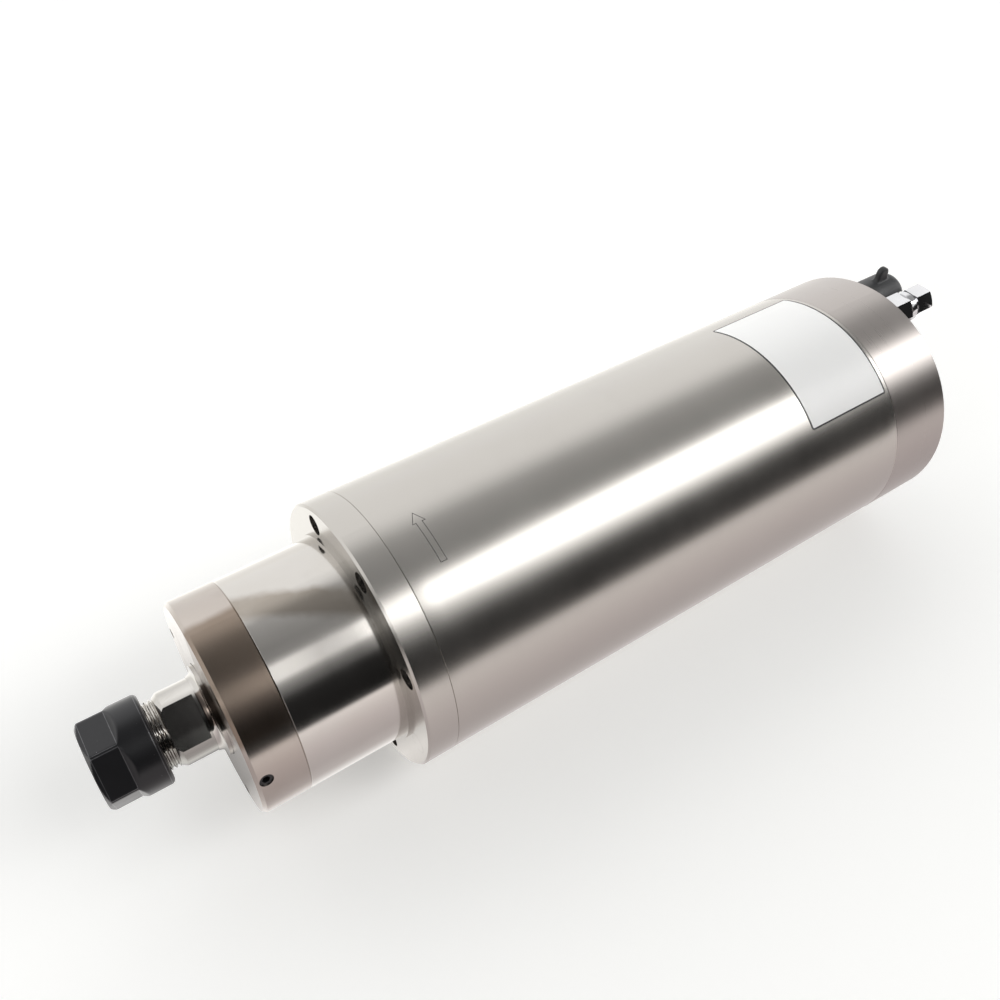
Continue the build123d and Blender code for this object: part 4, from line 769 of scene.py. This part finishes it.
# shows one look to the camera and another to what mirrors it
def splitByRay(tree, mirrored, seen, out):
    rays = tree.nodes.new("ShaderNodeLightPath")
    blend = tree.nodes.new("ShaderNodeMixShader")
    tree.links.new(rays.outputs["Is Camera Ray"], blend.inputs[0])
    tree.links.new(mirrored.outputs[0], blend.inputs[1])
    tree.links.new(seen.outputs[0], blend.inputs[2])
    tree.links.new(blend.outputs[0], out.inputs["Surface"])


def makeFloor():
    size, level = bench["size"], bench["level"]
    mesh = bpy.data.meshes.new("floor")
    mesh.from_pydata([(-size, -size, level), (size, -size, level), (size, size, level), (-size, size, level)],
                     [], [(0, 1, 2, 3)])
    floor = bpy.data.objects.new("floor", mesh)
    scene.collection.objects.link(floor)
    material, tree, shader = newMaterial("paleFloor")
    shader.inputs["Base Color"].default_value = (*bench["color"], 1)
    shader.inputs["Roughness"].default_value = bench["roughness"]
    shader.inputs["Emission Color"].default_value = (*bench["glowColor"], 1)
    shader.inputs["Emission Strength"].default_value = bench["glow"]
    coords = tree.nodes.new("ShaderNodeTexCoord")
    parts = tree.nodes.new("ShaderNodeSeparateXYZ")
    tree.links.new(coords.outputs["Object"], parts.inputs[0])
    along, across = (mathNode(tree, "MULTIPLY_ADD", parts.outputs[axis], 1 / (2 * size), 0.5)
                     for axis in (0, 1))
    grade = rampNode(tree, across, bench["grade"], -size, size, bench["brightest"])
    shade = rampNode(tree, across, bench["shade"], -size, size, 1)
    where = rampNode(tree, along, bench["shadeAlong"], -size, size, 1)
    shade = mathNode(tree, "MULTIPLY_ADD", mathNode(tree, "SUBTRACT", shade, 1.0), where, 1.0)
    strength = mathNode(tree, "MULTIPLY", shade, bench["brightest"] * studio["gain"])
    mirrored = tree.nodes.new("ShaderNodeEmission")
    tree.links.new(strength, mirrored.inputs["Strength"])
    tree.links.new(grade, mirrored.inputs["Color"])
    splitByRay(tree, mirrored, shader, tree.nodes["Material Output"])
    mesh.materials.append(material)


# studio: brightness by the angle round the spindle's axis, from the far side (0) over the top (90) to the
# near side (180). The room is one ramp, the bright strip light over the body a second, its glow over the rear
# a third, and the dark behind the camera, which the nose mirrors, a fourth. How far a direction leans along
# the axis mixes them, a lean to the front counting for less. The camera sees a pale backdrop
studio = {"gain": 1.28, "brightest": 4, "frontLean": -0.3, "backdrop": (0.975, 0.975, 0.958),
          "room": {0: 1.0, 35: 1.0, 52: 1.0, 62: 0.74, 70: 0.42, 88: 0.32, 100: 0.27, 112: 0.3, 131: 0.3,
                   140: 0.1, 150: 0.02, 180: 0.01},
          "strip": {109: 0.0, 113: 0.6, 117: 3.0, 130: 3.0, 135: 0.9, 144: 0.42, 150: 0.1, 155: 0.0},
          "nose": {0: 0.9, 30: 1.15, 40: 1.2, 50: 1.05, 58: 0.8, 66: 0.4, 74: 0.14, 82: 0.07, 100: 0.045,
                   125: 0.03, 150: 0.008, 180: 0.015},
          "rearStrip": {103: 0.0, 110: 0.28, 114: 0.65, 132: 0.65, 139: 0.8, 146: 0.18, 151: 0.0},
          "roomLean": {0.06: 0.0, 0.1: 1.0},
          "stripLean": {0.075: 0.0, 0.1: 0.32, 0.16: 0.25, 0.18: 0.06, 0.22: 0.06, 0.25: 0.9, 0.3: 1.0},
          "rearLean": {0.28: 0.0, 0.42: 0.5, 0.62: 1.0}}


def makeStudio():
    world = bpy.data.worlds.new("studio")
    scene.world = world
    world.use_nodes = True
    tree = world.node_tree
    tree.nodes.clear()
    coords = tree.nodes.new("ShaderNodeTexCoord")
    parts = tree.nodes.new("ShaderNodeSeparateXYZ")
    tree.links.new(coords.outputs["Generated"], parts.inputs[0])
    along, across, height = parts.outputs
    # past the far edge of the floor the room is mirrored, so that no bright line shows at the horizon
    height = mathNode(tree, "ABSOLUTE", height)
    turn = mathNode(tree, "DIVIDE", mathNode(tree, "ARCTAN2", height, across), math.pi)
    lean = mathNode(tree, "MAXIMUM", along, mathNode(tree, "MULTIPLY", along, studio["frontLean"]))
    lights = {label: rampNode(tree, turn, studio[label], 0, 180, studio["brightest"])
              for label in ("room", "strip", "nose", "rearStrip")}
    leans = {label: rampNode(tree, lean, studio[label], 0, 1, 1)
             for label in ("roomLean", "stripLean", "rearLean")}
    fill = mixColor(tree, leans["roomLean"], lights["nose"], lights["room"])
    strength = mathNode(tree, "MULTIPLY_ADD", lights["strip"], leans["stripLean"], fill)
    strength = mathNode(tree, "MULTIPLY_ADD", lights["rearStrip"], leans["rearLean"], strength)
    light = tree.nodes.new("ShaderNodeBackground")
    light.inputs["Color"].default_value = (1, 1, 1, 1)
    tree.links.new(mathNode(tree, "MULTIPLY", strength, studio["brightest"] * studio["gain"]),
                   light.inputs["Strength"])
    backdrop = tree.nodes.new("ShaderNodeBackground")
    backdrop.inputs["Color"].default_value = (*studio["backdrop"], 1)
    splitByRay(tree, light, backdrop, tree.nodes.new("ShaderNodeOutputWorld"))


# camera: where it stands in metres, and its right, up and forward directions
cameraPlace = {"lens": 35.26, "sensor": 36.0, "nearest": 0.01, "at": (-0.07806, -0.21074, 0.28973),
               "right": (0.82879, -0.55956, 0.0), "up": (0.39638, 0.58710, 0.70583),
               "forward": (0.39495, 0.58498, -0.70838)}


def makeCamera():
    data = bpy.data.cameras.new("camera")
    data.sensor_width = cameraPlace["sensor"]
    data.lens = cameraPlace["lens"]
    data.clip_start = cameraPlace["nearest"]
    camera = bpy.data.objects.new("camera", data)
    scene.collection.objects.link(camera)
    place = np.eye(4)
    place[:3, 0], place[:3, 1] = cameraPlace["right"], cameraPlace["up"]
    place[:3, 2] = -np.array(cameraPlace["forward"])
    place[:3, 3] = cameraPlace["at"]
    camera.matrix_world = Matrix(place.tolist())
    scene.camera = camera
    scene.view_settings.view_transform = "Standard"


makeFloor()
makeStudio()
makeCamera()
print("floor, studio and camera set")
